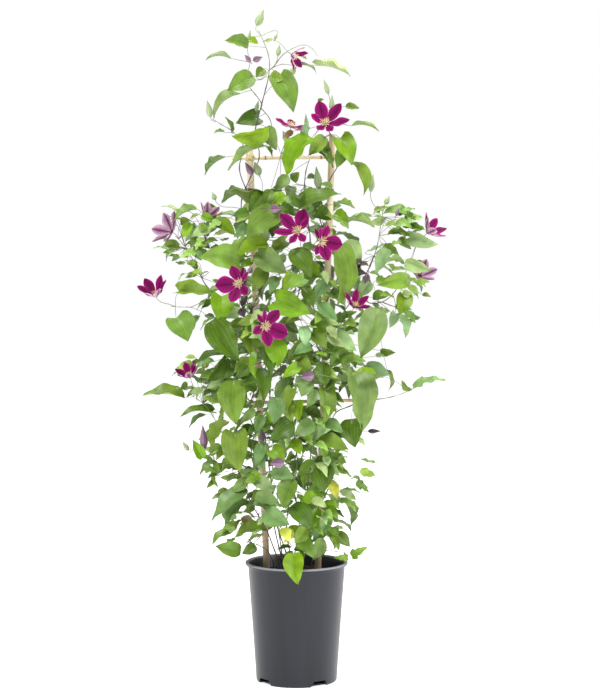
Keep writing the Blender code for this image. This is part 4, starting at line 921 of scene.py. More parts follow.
# Tepal: velvety carmine, with fine darker streaks along it and a paler pink rim. Its back is pale
# mauve with a dark middle stripe
tepal_look, tree = new_look("velvety_carmine_tepal")
spot = add(tree, "ShaderNodeUVMap", uv_map="UVMap")
out = add(tree, "ShaderNodeMath", {0: off_midrib(tree, spot), 1: 2.0}, operation="MULTIPLY")
drawn = add(tree, "ShaderNodeMapping", {"Vector": spot, "Scale": (2.5, 34, 1)})
streak = add(tree, "ShaderNodeTexNoise", {"Vector": drawn, "Scale": 1.0, "Detail": 2.0})
front = add(tree, "ShaderNodeValToRGB", {"Fac": out},
            stops=((0.0, "460436"), (0.12, "70044E"), (0.85, "8A0662"), (0.99, "A84686")))
back = add(tree, "ShaderNodeValToRGB", {"Fac": out},
           stops=((0.0, "55204A"), (0.18, "7E4A70"), (0.42, "A07C94"), (0.9, "B89CAE")))
under = add(tree, "ShaderNodeAttribute", out="Fac", attribute_name="underside")
both = add(tree, "ShaderNodeMix", {"Factor": under, "A": front, "B": back}, data_type="RGBA")
tint = add(tree, "ShaderNodeAttribute", attribute_name="tint")
tinted = add(tree, "ShaderNodeMix", {"Factor": 1.0, "A": both, "B": tint}, data_type="RGBA",
             blend_type="MULTIPLY")
bump = add(tree, "ShaderNodeBump", {"Strength": 0.4, "Distance": 0.0006, "Height": streak})
add(tree, "Principled BSDF", {
    "Base Color": shaded(tree, tinted, streak, 0.3, 0.7, 0.66, 1.36), "Roughness": 0.6,
    "Specular IOR Level": 0.12, "Subsurface Weight": 0.15, "Subsurface Radius": (0.004, 0.001, 0.002),
    "Subsurface Scale": 0.5, "Normal": bump})

# Stamen: pale cream filament, and a golden anther at its end
stamen_look, tree = new_look("cream_and_gold_stamen")
spot = add(tree, "ShaderNodeUVMap", uv_map="UVMap")
reach = add(tree, "ShaderNodeSeparateXYZ", {"Vector": spot})
colour = add(tree, "ShaderNodeValToRGB", {"Fac": reach},
             stops=((0.0, "B9C46A"), (0.4, "FFFAE8"), (0.64, "FBF2CC"), (0.84, "E8CC74")))
add(tree, "Principled BSDF", {"Base Color": colour, "Roughness": 0.7})

tepal_forms = gathered("tepal_forms", [
    *(blade_form("tepal_%d" % number, flat_place(TEPAL, *shape), 0.016, 12, TEPAL_COLUMNS)
      for number, shape in enumerate(((-0.05, 0.1, 0.02, 1.5), (-0.08, 0.2, 0.03, 2.2, 0.05),
                                      (-0.02, 0.05, 0.03, 1.8, -0.05)))),
    mesh_object("tepal_disc", *turned(DISC, DISC_SIDES)),
])
stamen_forms = gathered("stamen_forms", [blade_form("stamen", flat_place(STAMEN, 0.08, 0), 0.5, 6, 1)])
bloom_turns = random.Random(STAMEN_SEED)
for name, (place, facing, first_turn, span, count, cup) in FLOWERS.items():
    centre = seen(*place)
    facing = Vector(facing).normalized()
    zero = (Vector((1, 0, 0)) - facing * facing.x).normalized()
    quarter = facing.cross(zero)
    even = [(first_turn + 360 * index / count, 1.0, 1.0) for index in range(count)]
    rows = [(centre, centre + zero, facing, 1.0, 1.0, 3, linear("B07A80"))]
    for number, (turn, share, reach) in enumerate(TEPAL_TURNS.get(name, even)):
        angle = math.radians(turn)
        out = zero * math.cos(angle) + quarter * math.sin(angle)
        if name in TEPAL_TURNS:
            deep = -(math.cos(angle) * facing.x + math.sin(angle) * facing.z) / facing.y
            out = Vector((math.cos(angle), deep, math.sin(angle))).normalized()
        raised = math.radians(cup + bloom_turns.uniform(*TEPAL_RAISED))
        start = centre + out * FLOWER_DISC * TEPAL_START + facing * (TEPAL_LAP * (number % 2))
        length = reach * span / 2 - FLOWER_DISC * TEPAL_START
        end = start + (out * math.cos(raised) + facing * math.sin(raised)) * length
        upper = facing * math.cos(raised) - out * math.sin(raised)
        upper = Quaternion((end - start).normalized(), bloom_turns.uniform(*TEPAL_TWIST)) @ upper
        width = TEPAL_WIDTH * span * share * (NARROW_SHARE if cup > NARROW_CUP else 1.0)
        light = bloom_turns.uniform(*TEPAL_LIGHT)
        rows.append((start, end, upper, width, length, number % 3, (light, light, light, 1.0)))
    star = spread(name + "_tepal_star", rows, tepal_forms, tepal_look)
    settle(star, None, [name + "_tepals"], 50)
    rows = []
    forward, aside, further = STAMEN_FOOT
    for number in range(STAMENS):
        turn = number * math.tau * STAMEN_TURN
        spreading = math.sqrt((number + 0.5) / STAMENS) * STAMEN_LEAN[cup >= NARROW_CUP]
        out = zero * math.cos(turn) + quarter * math.sin(turn)
        way = facing * math.cos(spreading) + out * math.sin(spreading)
        start = centre + facing * forward + out * (aside + further * spreading)
        length = STAMEN_REACH * bloom_turns.uniform(*STAMEN_SHARES)
        length *= STAMEN_UPRIGHT + (1 - STAMEN_UPRIGHT) * spreading
        rows.append((start, start + way * length, way.cross(out.cross(way)), 1.0, 1.0, 0, (1, 1, 1, 1)))
    tuft = spread(name + "_stamen_tuft", rows, stamen_forms, stamen_look)
    settle(tuft, None, [name + "_stamens"], 60)
    remember_node(name + "_tepals")
    remember_node(name + "_stamens")
discard(stamen_forms)

# Leaf stalks, leaves and buds
# Thin leaves on slender stalks, each grown from a near stem, with the largest placed first. Most
# are oval with a drawn-out tip, some are heart-shaped and the small low ones are lobed. Their main
# veins arch from the base to the tip. A plain form of each keeps its room clear of what is placed.
STALK_RADIUS = 0.75
BLOOM_STALK_RADIUS = 1.0
SHORTEST_STALK = 9
LONGEST_STALK = 150
ROOTS_TRIED = 5
# A root is liked less when it is far, when the stalk must turn back to it, and when it is above
TURN_BACK = 1.7
RISE_LIKED = 0.15
# How far the bends of a stalk are from its root and from its end, and how far it sags under its
# leaf, as shares of its length
STALK_BENDS = (0.3, 0.32, 0.10)
STALK_SIDES = 3
STALK_PIECES = 3
STALK_NECK = 6
BUD_SHAPE = ((0.08, 0.75), (0.45, 1.0), (1.0, 0.12))
BULGES = tuple(Vector(way) for way in (
    (0, 0, 0.08), (0, 0, 0.26), (0, -0.16, 0), (0, 0.16, 0), (0.16, 0, 0),
    (-0.16, 0, 0), (0, 0, -0.16), (0, -0.32, 0), (0, 0.32, 0)))
BLADE_THICKNESS = 0.8
BLADE_ARCH = 0.05
BLADE_FOLD = 0.16
FOLD_SUNK = 0.3
ROOT_SHARE = 1 / 6
SMALLEST_LEAF = 33
LARGE_LEAF = 72
LEAST_WIDTH = 0.50
LEAF_FRONT = Vector((0, -1, 0.35))
STALK_STUB = 4
STALK_FLAT = 0.6
ROOMS = (0, -7, 7, -14, 14, -22, 22, -30, 30, 40, -40, 52, 66)
# Plain blades: their edge as (share of the length, share of half the width), the shares at which
# the midrib bends, and the triangles of one half, with b for base, s for side, m for midrib and t
# for tip
LARGE_BLADE = (((-0.04, 0.52), (0.26, 1.0), (0.68, 0.62)), (0.24, 0.62),
               ("b s0 m0", "s0 s1 m0", "s1 m1 m0", "s1 s2 m1", "s2 t m1"))
SMALL_BLADE = (((0.06, 0.66), (0.50, 0.94)), (0.42,), ("b s0 m0", "s0 s1 m0", "s1 t m0"))

# For each thing that has grown: its shoot, its stalk, its end, the way it faces and its width
GROWN = []
# Kind of each of them, once it is known
KINDS = []
# How much finer than a stem a leaf stalk is at its blade
STALK_TAPER = 0.75


def roots_for(end, away):
    """The likeliest stem nodes for a stalk that ends here, growing away along a direction."""
    ranked = []
    for name, nodes in NODES.items():
        for point in nodes:
            gap = end - point
            distance = gap.length
            if SHORTEST_STALK <= distance <= LONGEST_STALK:
                ahead = gap.normalized().dot(away)
                ranked.append((distance * (TURN_BACK - ahead) - RISE_LIKED * gap.z, name, point))
    ranked.sort(key=lambda row: row[0])
    return [(name, root) for _, name, root in ranked[:ROOTS_TRIED]]


def stalk_path(root, end, away, under, pieces, bulge):
    """Points of a stalk from its root to its end, where it arrives along away, bowed to one side."""
    first, last, sag = STALK_BENDS
    reach = (end - root).length
    leave = root + (end - root) * first + bulge * reach
    arrive = end - away * reach * last - under * reach * sag
    return interpolate_bezier(root, leave, arrive, end, pieces + 1)


def place_stalked(end, away, finish, width):
    """A stalk with a bud on its end, or a bare stalk under a flower when width is zero."""
    bud = [(end + away * (finish - end).length * share, max(STALK_RADIUS, width / 2 * size))
           for share, size in BUD_SHAPE] if width else []
    neck = end - away * STALK_NECK
    for name, root in roots_for(end, away):
        for bulge in BULGES:
            stalk = [*stalk_path(root, neck, away, Vector((0, 0, 0)), STALK_PIECES, bulge), end]
            rows = [(point, BLOOM_STALK_RADIUS) for point in stalk] + bud
            free = rows if width else rows[:-1]
            points, sizes = zip(*free)
            wide = tube(points, [size + LEAF_GAP for size in sizes], STALK_SIDES)
            if not blocked(*wide, name, tuple(root)):
                remember(*tube(*zip(*rows), STALK_SIDES), name, tuple(root))
                GROWN.append((name, stalk, finish, away, width))
                return True
    return False


def leaf(path, tip, facing, width, large, swell=0.0):
    """A plain leaf, as points, faces of its blade and faces of its three-sided stalk.

    path runs from the stem to the blade. swell grows the leaf on all sides."""
    edge, rib, half_faces = LARGE_BLADE if large else SMALL_BLADE
    base = path[-1]
    length = (tip - base).length
    along = (tip - base) / length
    normal = (facing - along * facing.dot(along)).normalized()
    side = along.cross(normal)
    half = width / 2
    points = []
    place = {}
    for face in (1, -1):
        corners = [("t", 1 + swell / length, 0)]
        corners.extend(("m%d" % index, share, 0) for index, share in enumerate(rib))
        for index, (share, out) in enumerate(edge):
            corners.append(("r%d" % index, share, out * half + swell))
            corners.append(("l%d" % index, share, -(out * half + swell)))
        for corner, share, out in corners:
            rise = BLADE_ARCH * length * 4 * share * (1 - share)
            rise += BLADE_FOLD * (abs(out) - half * FOLD_SUNK)
            rise *= min(1.0, abs(share) / ROOT_SHARE)
            skin = face * (BLADE_THICKNESS / 2 + swell)
            place[corner, face] = len(points)
            points.append(base + along * (share * length) + side * out + normal * (rise + skin))
    radius = STALK_RADIUS + swell
    rings = []
    previous = along = (tip - base).normalized()
    ways = [(b - a).normalized() for a, b in zip(path, path[1:])] + [along]
    for point, way in zip(reversed(path), reversed(ways)):
        turn = previous.rotation_difference(way)
        if point is not base:
            side = turn @ side
            normal = turn @ normal
        previous = way
        rings.append((point - side * radius + normal * radius * STALK_FLAT,
                      point + side * radius + normal * radius * STALK_FLAT, point - normal * radius))
    first = len(points)
    last = first + 3 * (len(rings) - 1)
    for ring in reversed(rings):
        points.extend(ring)
    faces = [[last, last + 1, place["m0", 1]]]
    for letter, root, top in (("r", last + 1, 1), ("l", last, -1)):
        place.update({("b", 1): root, ("b", -1): last + 2})
        for face in (1, -1):
            for triangle in half_faces:
                faces.append([place[corner, face] for corner in triangle.replace("s", letter).split()])
        chain = ["b", *(letter + str(index) for index in range(len(edge))), "t"]
        for near, far in zip(chain, chain[1:]):
            faces.append([place[far, top], place[near, top], place[near, -top]])
            faces.append([place[far, top], place[near, -top], place[far, -top]])
    stalk_faces = [[first, first + 2, first + 1]]
    for low in range(first, last, 3):
        for step in range(3):
            after = (step + 1) % 3
            stalk_faces.append([low + 3 + after, low + 3 + step, low + step, low + after])
    return points, faces, stalk_faces


def place_leaf(base, tip, width):
    """Places one leaf at the wanted place, or at the nearest clear depth."""
    for shift in ROOMS:
        here = base + Vector((0, shift, 0))
        there = tip + Vector((0, shift, 0))
        along = there - here
        length = along.length
        real_width = max(width, length * LEAST_WIDTH)
        turn = math.acos(min(1.0, width / real_width))
        along.normalize()
        front = (LEAF_FRONT - along * LEAF_FRONT.dot(along)).normalized()
        facings = [Quaternion(along, angle) @ front for angle in (turn, -turn)]
        facings.sort(key=lambda facing: -facing.z)
        for facing in facings:
            if fit_leaf(here, there, facing, real_width, length > LARGE_LEAF):
                return


def fit_leaf(here, there, facing, width, large):
    """Places a leaf exactly here if its blade is clear and a stalk can reach it, and says so."""
    along = (there - here).normalized()
    stub = [here - along * STALK_STUB, here]
    points, faces, _ = leaf(stub, there, facing, width, large, LEAF_GAP)
    if blocked(points, faces):
        return False
    for name, root in roots_for(here, along):
        for bulge in BULGES:
            path = stalk_path(root, here, along, facing, 3 if large else 2, bulge)
            points, _, stalk_faces = leaf(path, there, facing, width, large, LEAF_GAP)
            if not blocked(points, stalk_faces, name, tuple(root)):
                points, faces, stalk_faces = leaf(path, there, facing, width, large)
                remember(points, faces, name)
                remember(points, stalk_faces, name, tuple(root))
                GROWN.append((name, path, there, facing, width))
                return True
    return False


def note(kind):
    """Says what kind the things are that have grown since the last call."""
    KINDS.extend([kind] * (len(GROWN) - len(KINDS)))


for name, (place, facing, *_) in FLOWERS.items():
    facing = Vector(facing).normalized()
    seat = seen(*place) - facing * (BLADE_THICKNESS / 2 + SEAT_GAP)
    place_stalked(seat, facing, seat, 0)
note("flower")

# Leaves seen from the front: base (across, height, depth), tip (across, height, depth), width as
# seen, and kind: m middle green, b blue green, d dark green that partly stands for painted shade, y
# yellow green, v vivid, e pale grey green that stands for a painted highlight, p pale, g bright
# yellow green, w yellowed, r withered brown, k withered black, l and t lobed, h the large hooded
# one and s very small. A digit after the letter picks the form of the blade
LEAVES = (
    (-45, 1179, 5, -60, 1174, 0, 8, "s"), (-88, 1179, -8, -70, 1171, -4, 13, "y"),
    (-88, 1167, -10, -130, 1178, -22, 24, "m"), (-2, 1150, -14, 19, 1144, -20, 10, "p"),
    (-119, 1144, -10, -165, 1146, -22, 14, "m9"), (38, 1132, 8, 99, 1116, -4, 17, "p"),
    (11, 1132, 6, 38, 1119, 0, 7, "m"), (8, 1132, 4, -11, 1139, 0, 8, "m"),
    (-60, 1126, -8, -74, 1111, -14, 20, "m"), (-79, 1113, -22, -126, 1087, -34, 37, "m"),
    (-48, 1112, -24, -23, 1107, -32, 24, "m"), (-33, 1110, -24, -5, 1049, -38, 42, "m2"),
    (-102, 1081, -12, -154, 1041, -30, 25, "m9"), (39, 1067, -14, 50, 1071, -18, 7, "m"),
    (90, 1058, -2, 115, 1055, -8, 13, "m"), (-70, 1038, 4, -110, 1029, -10, 32, "d2"),
    (100, 1022, 0, 151, 1017, -10, 12, "y8"), (-56, 1020, -20, -36, 979, -32, 28, "b"),
    (-50, 1013, -26, -118, 1002, -40, 20, "g0"), (-6, 1012, -20, -26, 1000, -24, 12, "r"),
    (-119, 1010, -6, -130, 1039, -14, 9, "m"), (-131, 1010, -8, -152, 1010, -14, 7, "m"),
    (11, 1005, -16, 25, 1020, -24, 12, "m"), (14, 1004, -10, 22, 1030, -14, 14, "e"),
    (52, 1002, -30, 22, 968, -38, 26, "m"), (28, 1001, -44, -21, 931, -60, 39, "y1"),
    (80, 1000, -26, 102, 952, -40, 36, "y"), (32, 998, -20, 60, 962, -30, 22, "m"),
    (-56, 986, -40, -128, 947, -56, 27, "b"), (-58, 985, 10, -43, 968, 4, 8, "d"),
    (34, 985, -24, 66, 950, -30, 22, "b"), (45, 977, -34, 69, 947, -44, 13, "d"),
    (84, 976, -20, 73, 946, -26, 22, "m"), (-131, 965, -10, -170, 936, -24, 14, "d"),
    (99, 957, -20, 127, 898, -38, 26, "m8"), (-15, 931, 10, -42, 905, 0, 23, "b"),
    (20, 929, 12, 37, 927, 4, 11, "b"), (-6, 921, 24, 5, 938, 18, 17, "m"),
    (65, 908, -8, 43, 916, -14, 12, "b"), (-44, 908, 10, -3, 910, 2, 10, "d"),
    (20, 908, 14, 33, 896, 6, 14, "b"), (-47, 906, -30, -62, 871, -42, 23, "d"),
    (-27, 904, -8, -119, 899, -24, 16, "m"), (-62, 900, -40, -88, 866, -50, 26, "d"),
    (-19, 895, -44, -49, 872, -56, 23, "y"), (-17, 895, -20, 13, 872, -34, 23, "b"),
    (-27, 880, -14, 0, 859, -26, 22, "m"), (56, 874, -40, 32, 856, -48, 20, "d"),
    (5, 872, -46, 80, 901, -62, 35, "m"), (-167, 871, 4, -147, 874, 0, 14, "m"),
    (-181, 870, -6, -225, 853, -20, 18, "m"), (30, 867, -16, 64, 850, -28, 28, "d"),
    (-92, 867, -16, -117, 859, -24, 16, "d"), (-88, 866, -50, -116, 858, -56, 18, "d"),
    (70, 863, 6, 97, 850, -6, 25, "y"), (160, 863, 6, 219, 852, -8, 24, "v0"),
    (-42, 860, -56, -92, 818, -70, 45, "m"), (-145, 859, -10, -98, 850, -22, 14, "b"),
    (-174, 858, -10, -148, 850, -14, 16, "y"), (137, 857, 0, 92, 846, -10, 9, "y"),
    (161, 854, 4, 132, 845, -4, 14, "p"), (-152, 848, -14, -112, 822, -26, 24, "y"),
    (-196, 846, -8, -209, 818, -12, 18, "g0"), (-212, 844, -6, -194, 850, -12, 15, "m"),
    (188, 843, -4, 222, 838, -10, 12, "g0"), (-87, 842, -34, -115, 820, -44, 23, "b"),
    (-179, 841, -10, -158, 833, -16, 12, "m"), (195, 839, -10, 231, 835, -18, 17, "d"),
    (-158, 838, -12, -192, 822, -18, 22, "e"), (-184, 838, 2, -204, 812, -4, 18, "e"),
    (-182, 829, 6, -160, 822, 0, 17, "b"), (167, 824, -8, 210, 820, -18, 18, "v"),
    (208, 820, -4, 259, 803, -16, 20, "e"), (-182, 818, 0, -194, 799, -8, 14, "b"),
    (-20, 812, -30, -50, 795, -40, 22, "m"), (-175, 811, 6, -158, 799, 0, 14, "b"),
    (84, 806, -20, 119, 772, -34, 37, "e"), (-52, 806, -46, -111, 787, -58, 30, "y"),
    (159, 803, 8, 189, 786, 0, 17, "m"), (168, 797, -10, 146, 752, -22, 24, "e"),
    (-10, 796, -62, 28, 745, -76, 39, "d"), (72, 796, -50, 82, 695, -72, 41, "m2"),
    (-186, 792, -6, -174, 776, -12, 15, "b"), (-73, 791, -56, -17, 755, -70, 42, "b"),
    (-216, 786, 0, -229, 775, -6, 10, "b"), (100, 780, -30, 133, 764, -36, 12, "k"),
    (92, 778, -32, 110, 748, -38, 12, "k"), (-194, 777, 4, -182, 754, -2, 12, "m"),
    (-84, 775, -50, -104, 765, -56, 14, "y"), (132, 775, -30, 108, 752, -36, 7, "k"),
    (199, 773, -10, 246, 758, -20, 20, "e"), (-106, 772, -46, -178, 783, -62, 46, "v"),
    (26, 767, -30, 41, 747, -36, 18, "y"), (-59, 762, -36, -81, 720, -48, 29, "m"),
    (97, 762, -32, 130, 751, -38, 11, "k"), (-8, 752, -84, -24, 722, -92, 20, "y"),
    (-38, 748, -60, -50, 716, -70, 20, "b"), (14, 744, -84, -14, 728, -92, 22, "m"),
    (210, 743, -12, 149, 729, -28, 25, "v9"), (-97, 740, -30, -104, 706, -36, 10, "k"),
    (134, 738, -10, 112, 709, -20, 25, "e"), (62, 736, -60, 32, 706, -70, 24, "b"),
    (12, 724, -70, 32, 690, -80, 22, "d"), (28, 720, -20, 64, 724, -28, 17, "b"),
    (-216, 720, -14, -151, 716, -26, 30, "v"), (-92, 714, -30, -99, 684, -36, 13, "k"),
    (199, 711, -8, 189, 677, -18, 29, "y"), (-137, 711, -44, -141, 662, -60, 41, "y"),
    (140, 709, 0, 169, 711, -8, 19, "m"), (-147, 702, 4, -175, 688, -4, 14, "d"),
    (-38, 702, -66, 26, 679, -82, 46, "y"), (42, 696, -60, 76, 668, -70, 24, "b"),
    (148, 688, -30, 118, 597, -54, 50, "b0"), (182, 679, 8, 171, 653, 0, 18, "e"),
    (189, 677, -2, 201, 635, -14, 18, "e"), (-179, 675, 6, -195, 641, -2, 15, "e"),
    (-221, 671, -10, -200, 629, -24, 48, "v2"), (-28, 668, -44, 5, 643, -56, 23, "b"),
    (30, 668, -52, 64, 643, -64, 27, "d"), (-156, 666, -60, -105, 593, -80, 50, "d"),
    (-81, 660, -66, -60, 602, -82, 33, "m"), (12, 656, -62, 16, 620, -70, 22, "e"),
    (-88, 655, -50, -83, 600, -60, 32, "m"), (20, 651, -40, 7, 619, -52, 23, "b"),
    (95, 645, -16, 125, 660, -22, 12, "y"), (28, 642, -60, 56, 614, -68, 24, "m"),
    (65, 638, -42, 110, 610, -58, 27, "e"), (-44, 632, -78, -34, 580, -92, 38, "y"),
    (33, 630, -26, 60, 636, -34, 17, "b"), (17, 623, -60, -19, 591, -74, 27, "m"),
    (28, 618, -70, -6, 604, -78, 20, "b"), (-68, 617, -90, -44, 560, -104, 23, "d"),
    (154, 610, 0, 182, 607, -8, 11, "m"), (94, 610, -46, 62, 580, -60, 31, "m"),
    (97, 606, -14, 109, 578, -24, 16, "d"), (-130, 604, -18, -191, 588, -36, 20, "d"),
    (-72, 604, -90, -79, 560, -98, 13, "y"), (-130, 601, -40, -164, 553, -54, 20, "d"),
    (54, 600, -74, 34, 606, -78, 8, "y"), (2, 594, -72, 28, 564, -84, 34, "m"),
    (-80, 592, -60, -116, 572, -68, 20, "m"), (-151, 591, 0, -188, 577, -12, 15, "b"),
    (49, 587, -62, 55, 545, -76, 29, "d"), (-88, 582, -70, -112, 562, -76, 20, "d"),
    (2, 582, -84, -26, 562, -92, 20, "y"), (-66, 578, -84, -57, 519, -98, 27, "d"),
    (-116, 577, -60, -133, 560, -64, 14, "d"), (131, 574, -8, 171, 566, -22, 30, "e"),
    (167, 571, 0, 172, 536, -8, 8, "m"), (109, 568, -34, 123, 457, -62, 49, "h3"),
    (146, 568, -60, 100, 566, -64, 15, "y"), (-134, 556, -24, -166, 542, -34, 18, "e"),
    (-116, 556, -62, -111, 475, -84, 48, "m"), (-12, 556, -70, -35, 509, -84, 29, "b"),
    (26, 553, -80, 9, 526, -92, 27, "b"), (102, 550, -30, 76, 533, -40, 10, "m"),
    (-103, 542, -36, -92, 512, -46, 18, "m"), (215, 542, -6, 273, 559, -20, 22, "t"),
    (50, 541, -64, 53, 476, -82, 30, "m"), (-8, 540, -90, -22, 500, -98, 20, "m"),
    (36, 540, -70, 18, 506, -78, 20, "b"), (-172, 540, -10, -198, 533, -14, 14, "p"),
    (212, 537, -2, 194, 556, -10, 8, "m"), (-183, 537, 0, -203, 526, -8, 11, "m"),
    (-37, 525, -88, -42, 475, -102, 29, "b"), (-206, 524, -4, -282, 531, -16, 26, "m0"),
    (-18, 520, -76, -7, 479, -90, 24, "m"), (8, 520, -80, 2, 478, -88, 18, "y"),
    (-76, 502, -60, -104, 478, -66, 18, "b"), (-56, 498, -84, -46, 476, -90, 11, "y"),
    (-156, 496, -8, -214, 495, -26, 19, "m"), (-167, 493, 4, -200, 471, -8, 13, "b"),
    (-60, 490, -60, -74, 460, -66, 20, "b"), (101, 484, -50, 109, 432, -68, 41, "d"),
    (-7, 480, -84, -50, 446, -100, 35, "d"), (30, 480, -72, -4, 452, -86, 29, "b"),
    (-126, 480, -42, -160, 430, -60, 25, "m"), (52, 480, -50, 86, 460, -58, 22, "b"),
    (55, 471, -36, 90, 452, -52, 23, "b"), (-113, 458, -66, -105, 386, -86, 46, "m"),
    (58, 458, -56, 90, 436, -62, 16, "b"), (-8, 446, -70, 7, 419, -80, 22, "y"),
    (39, 442, -62, 96, 428, -80, 29, "m"), (-62, 442, -70, -76, 398, -78, 22, "b"),
    (-137, 430, -36, -148, 409, -44, 13, "m"), (-58, 430, -66, -62, 386, -72, 15, "b"),
    (-46, 427, -88, -23, 406, -100, 27, "y"), (-65, 427, -56, -81, 388, -68, 23, "b"),
    (-173, 412, -30, -191, 446, -42, 20, "y"), (32, 408, -66, 0, 380, -74, 24, "d"),
    (-148, 406, -20, -179, 382, -30, 13, "b"), (36, 404, -72, 50, 347, -90, 45, "d"),
    (-151, 403, -30, -144, 385, -36, 10, "m"), (61, 392, -30, 102, 379, -46, 16, "l"),
    (-46, 385, -80, -4, 376, -94, 30, "b"), (-115, 384, -30, -141, 377, -38, 10, "b"),
    (-66, 382, -60, -94, 366, -66, 18, "y"), (-146, 379, -16, -165, 374, -22, 8, "m"),
    (-151, 379, -20, -144, 357, -26, 6, "m"), (-75, 377, -60, -96, 369, -68, 15, "m"),
    (-110, 374, -24, -130, 368, -32, 6, "m"), (-90, 374, -50, -120, 350, -56, 20, "b"),
    (-8, 373, -92, -24, 319, -108, 34, "m"), (-80, 372, -66, -40, 350, -74, 24, "e"),
    (60, 369, -34, 76, 335, -44, 20, "w"), (-154, 369, -12, -166, 357, -18, 9, "m"),
    (-91, 354, -56, -159, 301, -80, 34, "b4"), (80, 350, -14, 117, 350, -26, 10, "l"),
    (18, 346, -70, 50, 338, -76, 14, "y"), (-45, 344, -72, -81, 324, -84, 29, "b"),
    (14, 344, -80, 45, 331, -92, 23, "y"), (-76, 342, -76, -30, 326, -84, 24, "b"),
    (79, 336, -8, 115, 322, -20, 10, "l"), (28, 336, -84, 56, 322, -90, 16, "p"),
    (-88, 331, -40, -135, 288, -60, 26, "b"), (52, 330, -60, 80, 318, -66, 12, "g"),
    (52, 328, -40, 79, 320, -50, 15, "l"), (-8, 325, -88, 30, 278, -104, 35, "d"),
    (55, 320, -50, 78, 298, -56, 16, "y"), (39, 319, -62, 31, 279, -74, 21, "y"),
    (14, 318, -80, 50, 334, -86, 16, "p"), (-59, 312, -82, -13, 290, -98, 35, "b"),
    (47, 303, -26, 80, 297, -38, 15, "y"), (62, 302, -50, 48, 272, -56, 20, "b"),
    (-102, 302, -30, -78, 284, -36, 16, "r"), (-102, 297, -20, -113, 279, -28, 8, "m"),
    (52, 284, -46, 30, 255, -58, 23, "b"), (-8, 282, -62, -24, 257, -72, 16, "w"),
    (64, 282, -30, 79, 241, -46, 24, "l"), (-28, 282, -84, -12, 256, -90, 20, "w"),
    (18, 282, -84, -4, 254, -90, 24, "v"), (-56, 278, -56, -116, 267, -74, 24, "m"),
    (-12, 274, -70, 19, 271, -80, 23, "y"), (48, 264, -60, 30, 222, -68, 24, "b"),
    (7, 260, -62, 31, 227, -76, 26, "m"), (50, 255, -36, 46, 227, -46, 14, "b"),
    (-76, 250, -60, -100, 234, -66, 20, "d"), (-75, 246, -48, -101, 236, -58, 18, "l"),
    (-10, 246, -60, -36, 242, -66, 9, "d"), (-4, 244, -70, 12, 238, -76, 9, "d"),
    (-103, 240, -44, -150, 249, -58, 28, "m"), (-12, 240, -64, -10, 226, -70, 12, "b"),
    (8, 238, -60, 12, 222, -66, 10, "y"), (-5, 236, -84, 3, 178, -112, 36, "y"),
    (102, 230, -26, 131, 247, -38, 20, "l"), (95, 227, -28, 69, 227, -38, 15, "l"),
)
# Buds: base (across, height, depth), tip (across, height, depth), width, and kind: g green, c half
# open, k withered
BUDS = (
    (-72, 1205, 4, -60, 1232, 2, 13, "g"), (-88, 1175, 2, -84, 1196, 0, 6, "g"),
    (-36, 1187, 6, -42, 1174, 4, 5, "g"), (-34, 1150, -6, -31, 1170, -8, 8, "g"),
    (-85, 1139, -14, -94, 1150, -16, 8, "c"), (-78, 1141, -16, -62, 1147, -18, 10, "c"),
    (-11, 1116, 2, 0, 1130, 0, 10, "g"), (-157, 1039, -10, -163, 1068, -12, 11, "g"),
    (-74, 1049, 6, -69, 1067, 4, 7, "g"), (58, 1081, -10, 50, 1106, -12, 8, "g"),
    (64, 1051, -14, 65, 1078, -16, 9, "g"), (-16, 994, 4, -25, 1013, 2, 11, "g"),
    (18, 1022, -8, 17, 1044, -10, 6, "g"), (-68, 933, -16, -77, 957, -18, 13, "g"),
    (-81, 934, -22, -94, 956, -24, 11, "c"), (41, 908, -14, 36, 948, -16, 13, "g"),
    (136, 903, 6, 140, 934, 4, 10, "g"), (-149, 888, -4, -154, 901, -6, 8, "g"),
    (163, 880, 0, 170, 894, -2, 9, "g"), (182, 859, -4, 186, 872, -6, 6, "c"),
    (131, 750, -16, 126, 734, -18, 10, "c"), (114, 769, -22, 101, 758, -24, 23, "k"),
    (-47, 871, -74, -28, 871, -76, 15, "c"), (-87, 754, -60, -81, 765, -62, 9, "c"),
    (-102, 687, -70, -96, 672, -72, 15, "k"), (31, 566, -90, 7, 561, -92, 16, "c"),
    (-170, 430, -30, -173, 473, -32, 13, "c"), (-200, 427, -10, -210, 442, -12, 8, "g"),
    (-24, 404, -104, -49, 402, -106, 16, "c"), (133, 462, -10, 155, 462, -12, 8, "k"),
    (-62, 446, -70, -65, 468, -72, 10, "k"),
)
BUD_ROOMS = (0, -8, 8, -16, 16, -26, 26)
GOLDEN = 0.6180339887
FILL_SEED = 11
# Leaves made by rule on the far side and inside the column: how many, the middle of their turns in
# degrees, their least and greatest share of the column's half width, the shortest and longest of
# them, and their kind
# The inner leaves are of kind d, whose dark green partly stands for painted shade inside the column
FILLS = ((60, 90, 0.35, 0.85, 34, 58, "m"), (14, -90, 0.05, 0.55, 28, 40, "d"))
FILL_LOW = 262
FILL_HIGH = 985
FILL_TOP = 915
FILL_WIDTH = 0.62
FILL_TURN = 250
FILL_DROOP = (5, 60)
FILL_TWIST = 0.5
FILL_LIFTS = (0, 14, -14, 28)
# Half width of the leafy column by height, and its half depth
COLUMN = ((230, 85), (300, 120), (420, 140), (600, 145), (780, 150), (900, 135), (1000, 90))
COLUMN_DEPTH = 118


def column_width(height):
    """Half width of the leafy column at a height."""
    heights = [row[0] for row in COLUMN]
    spot = min(max(bisect.bisect(heights, height), 1), len(COLUMN) - 1)
    (low, width), (high, other) = COLUMN[spot - 1], COLUMN[spot]
    share = min(1.0, max(0.0, (height - low) / (high - low)))
    return width + (other - width) * share


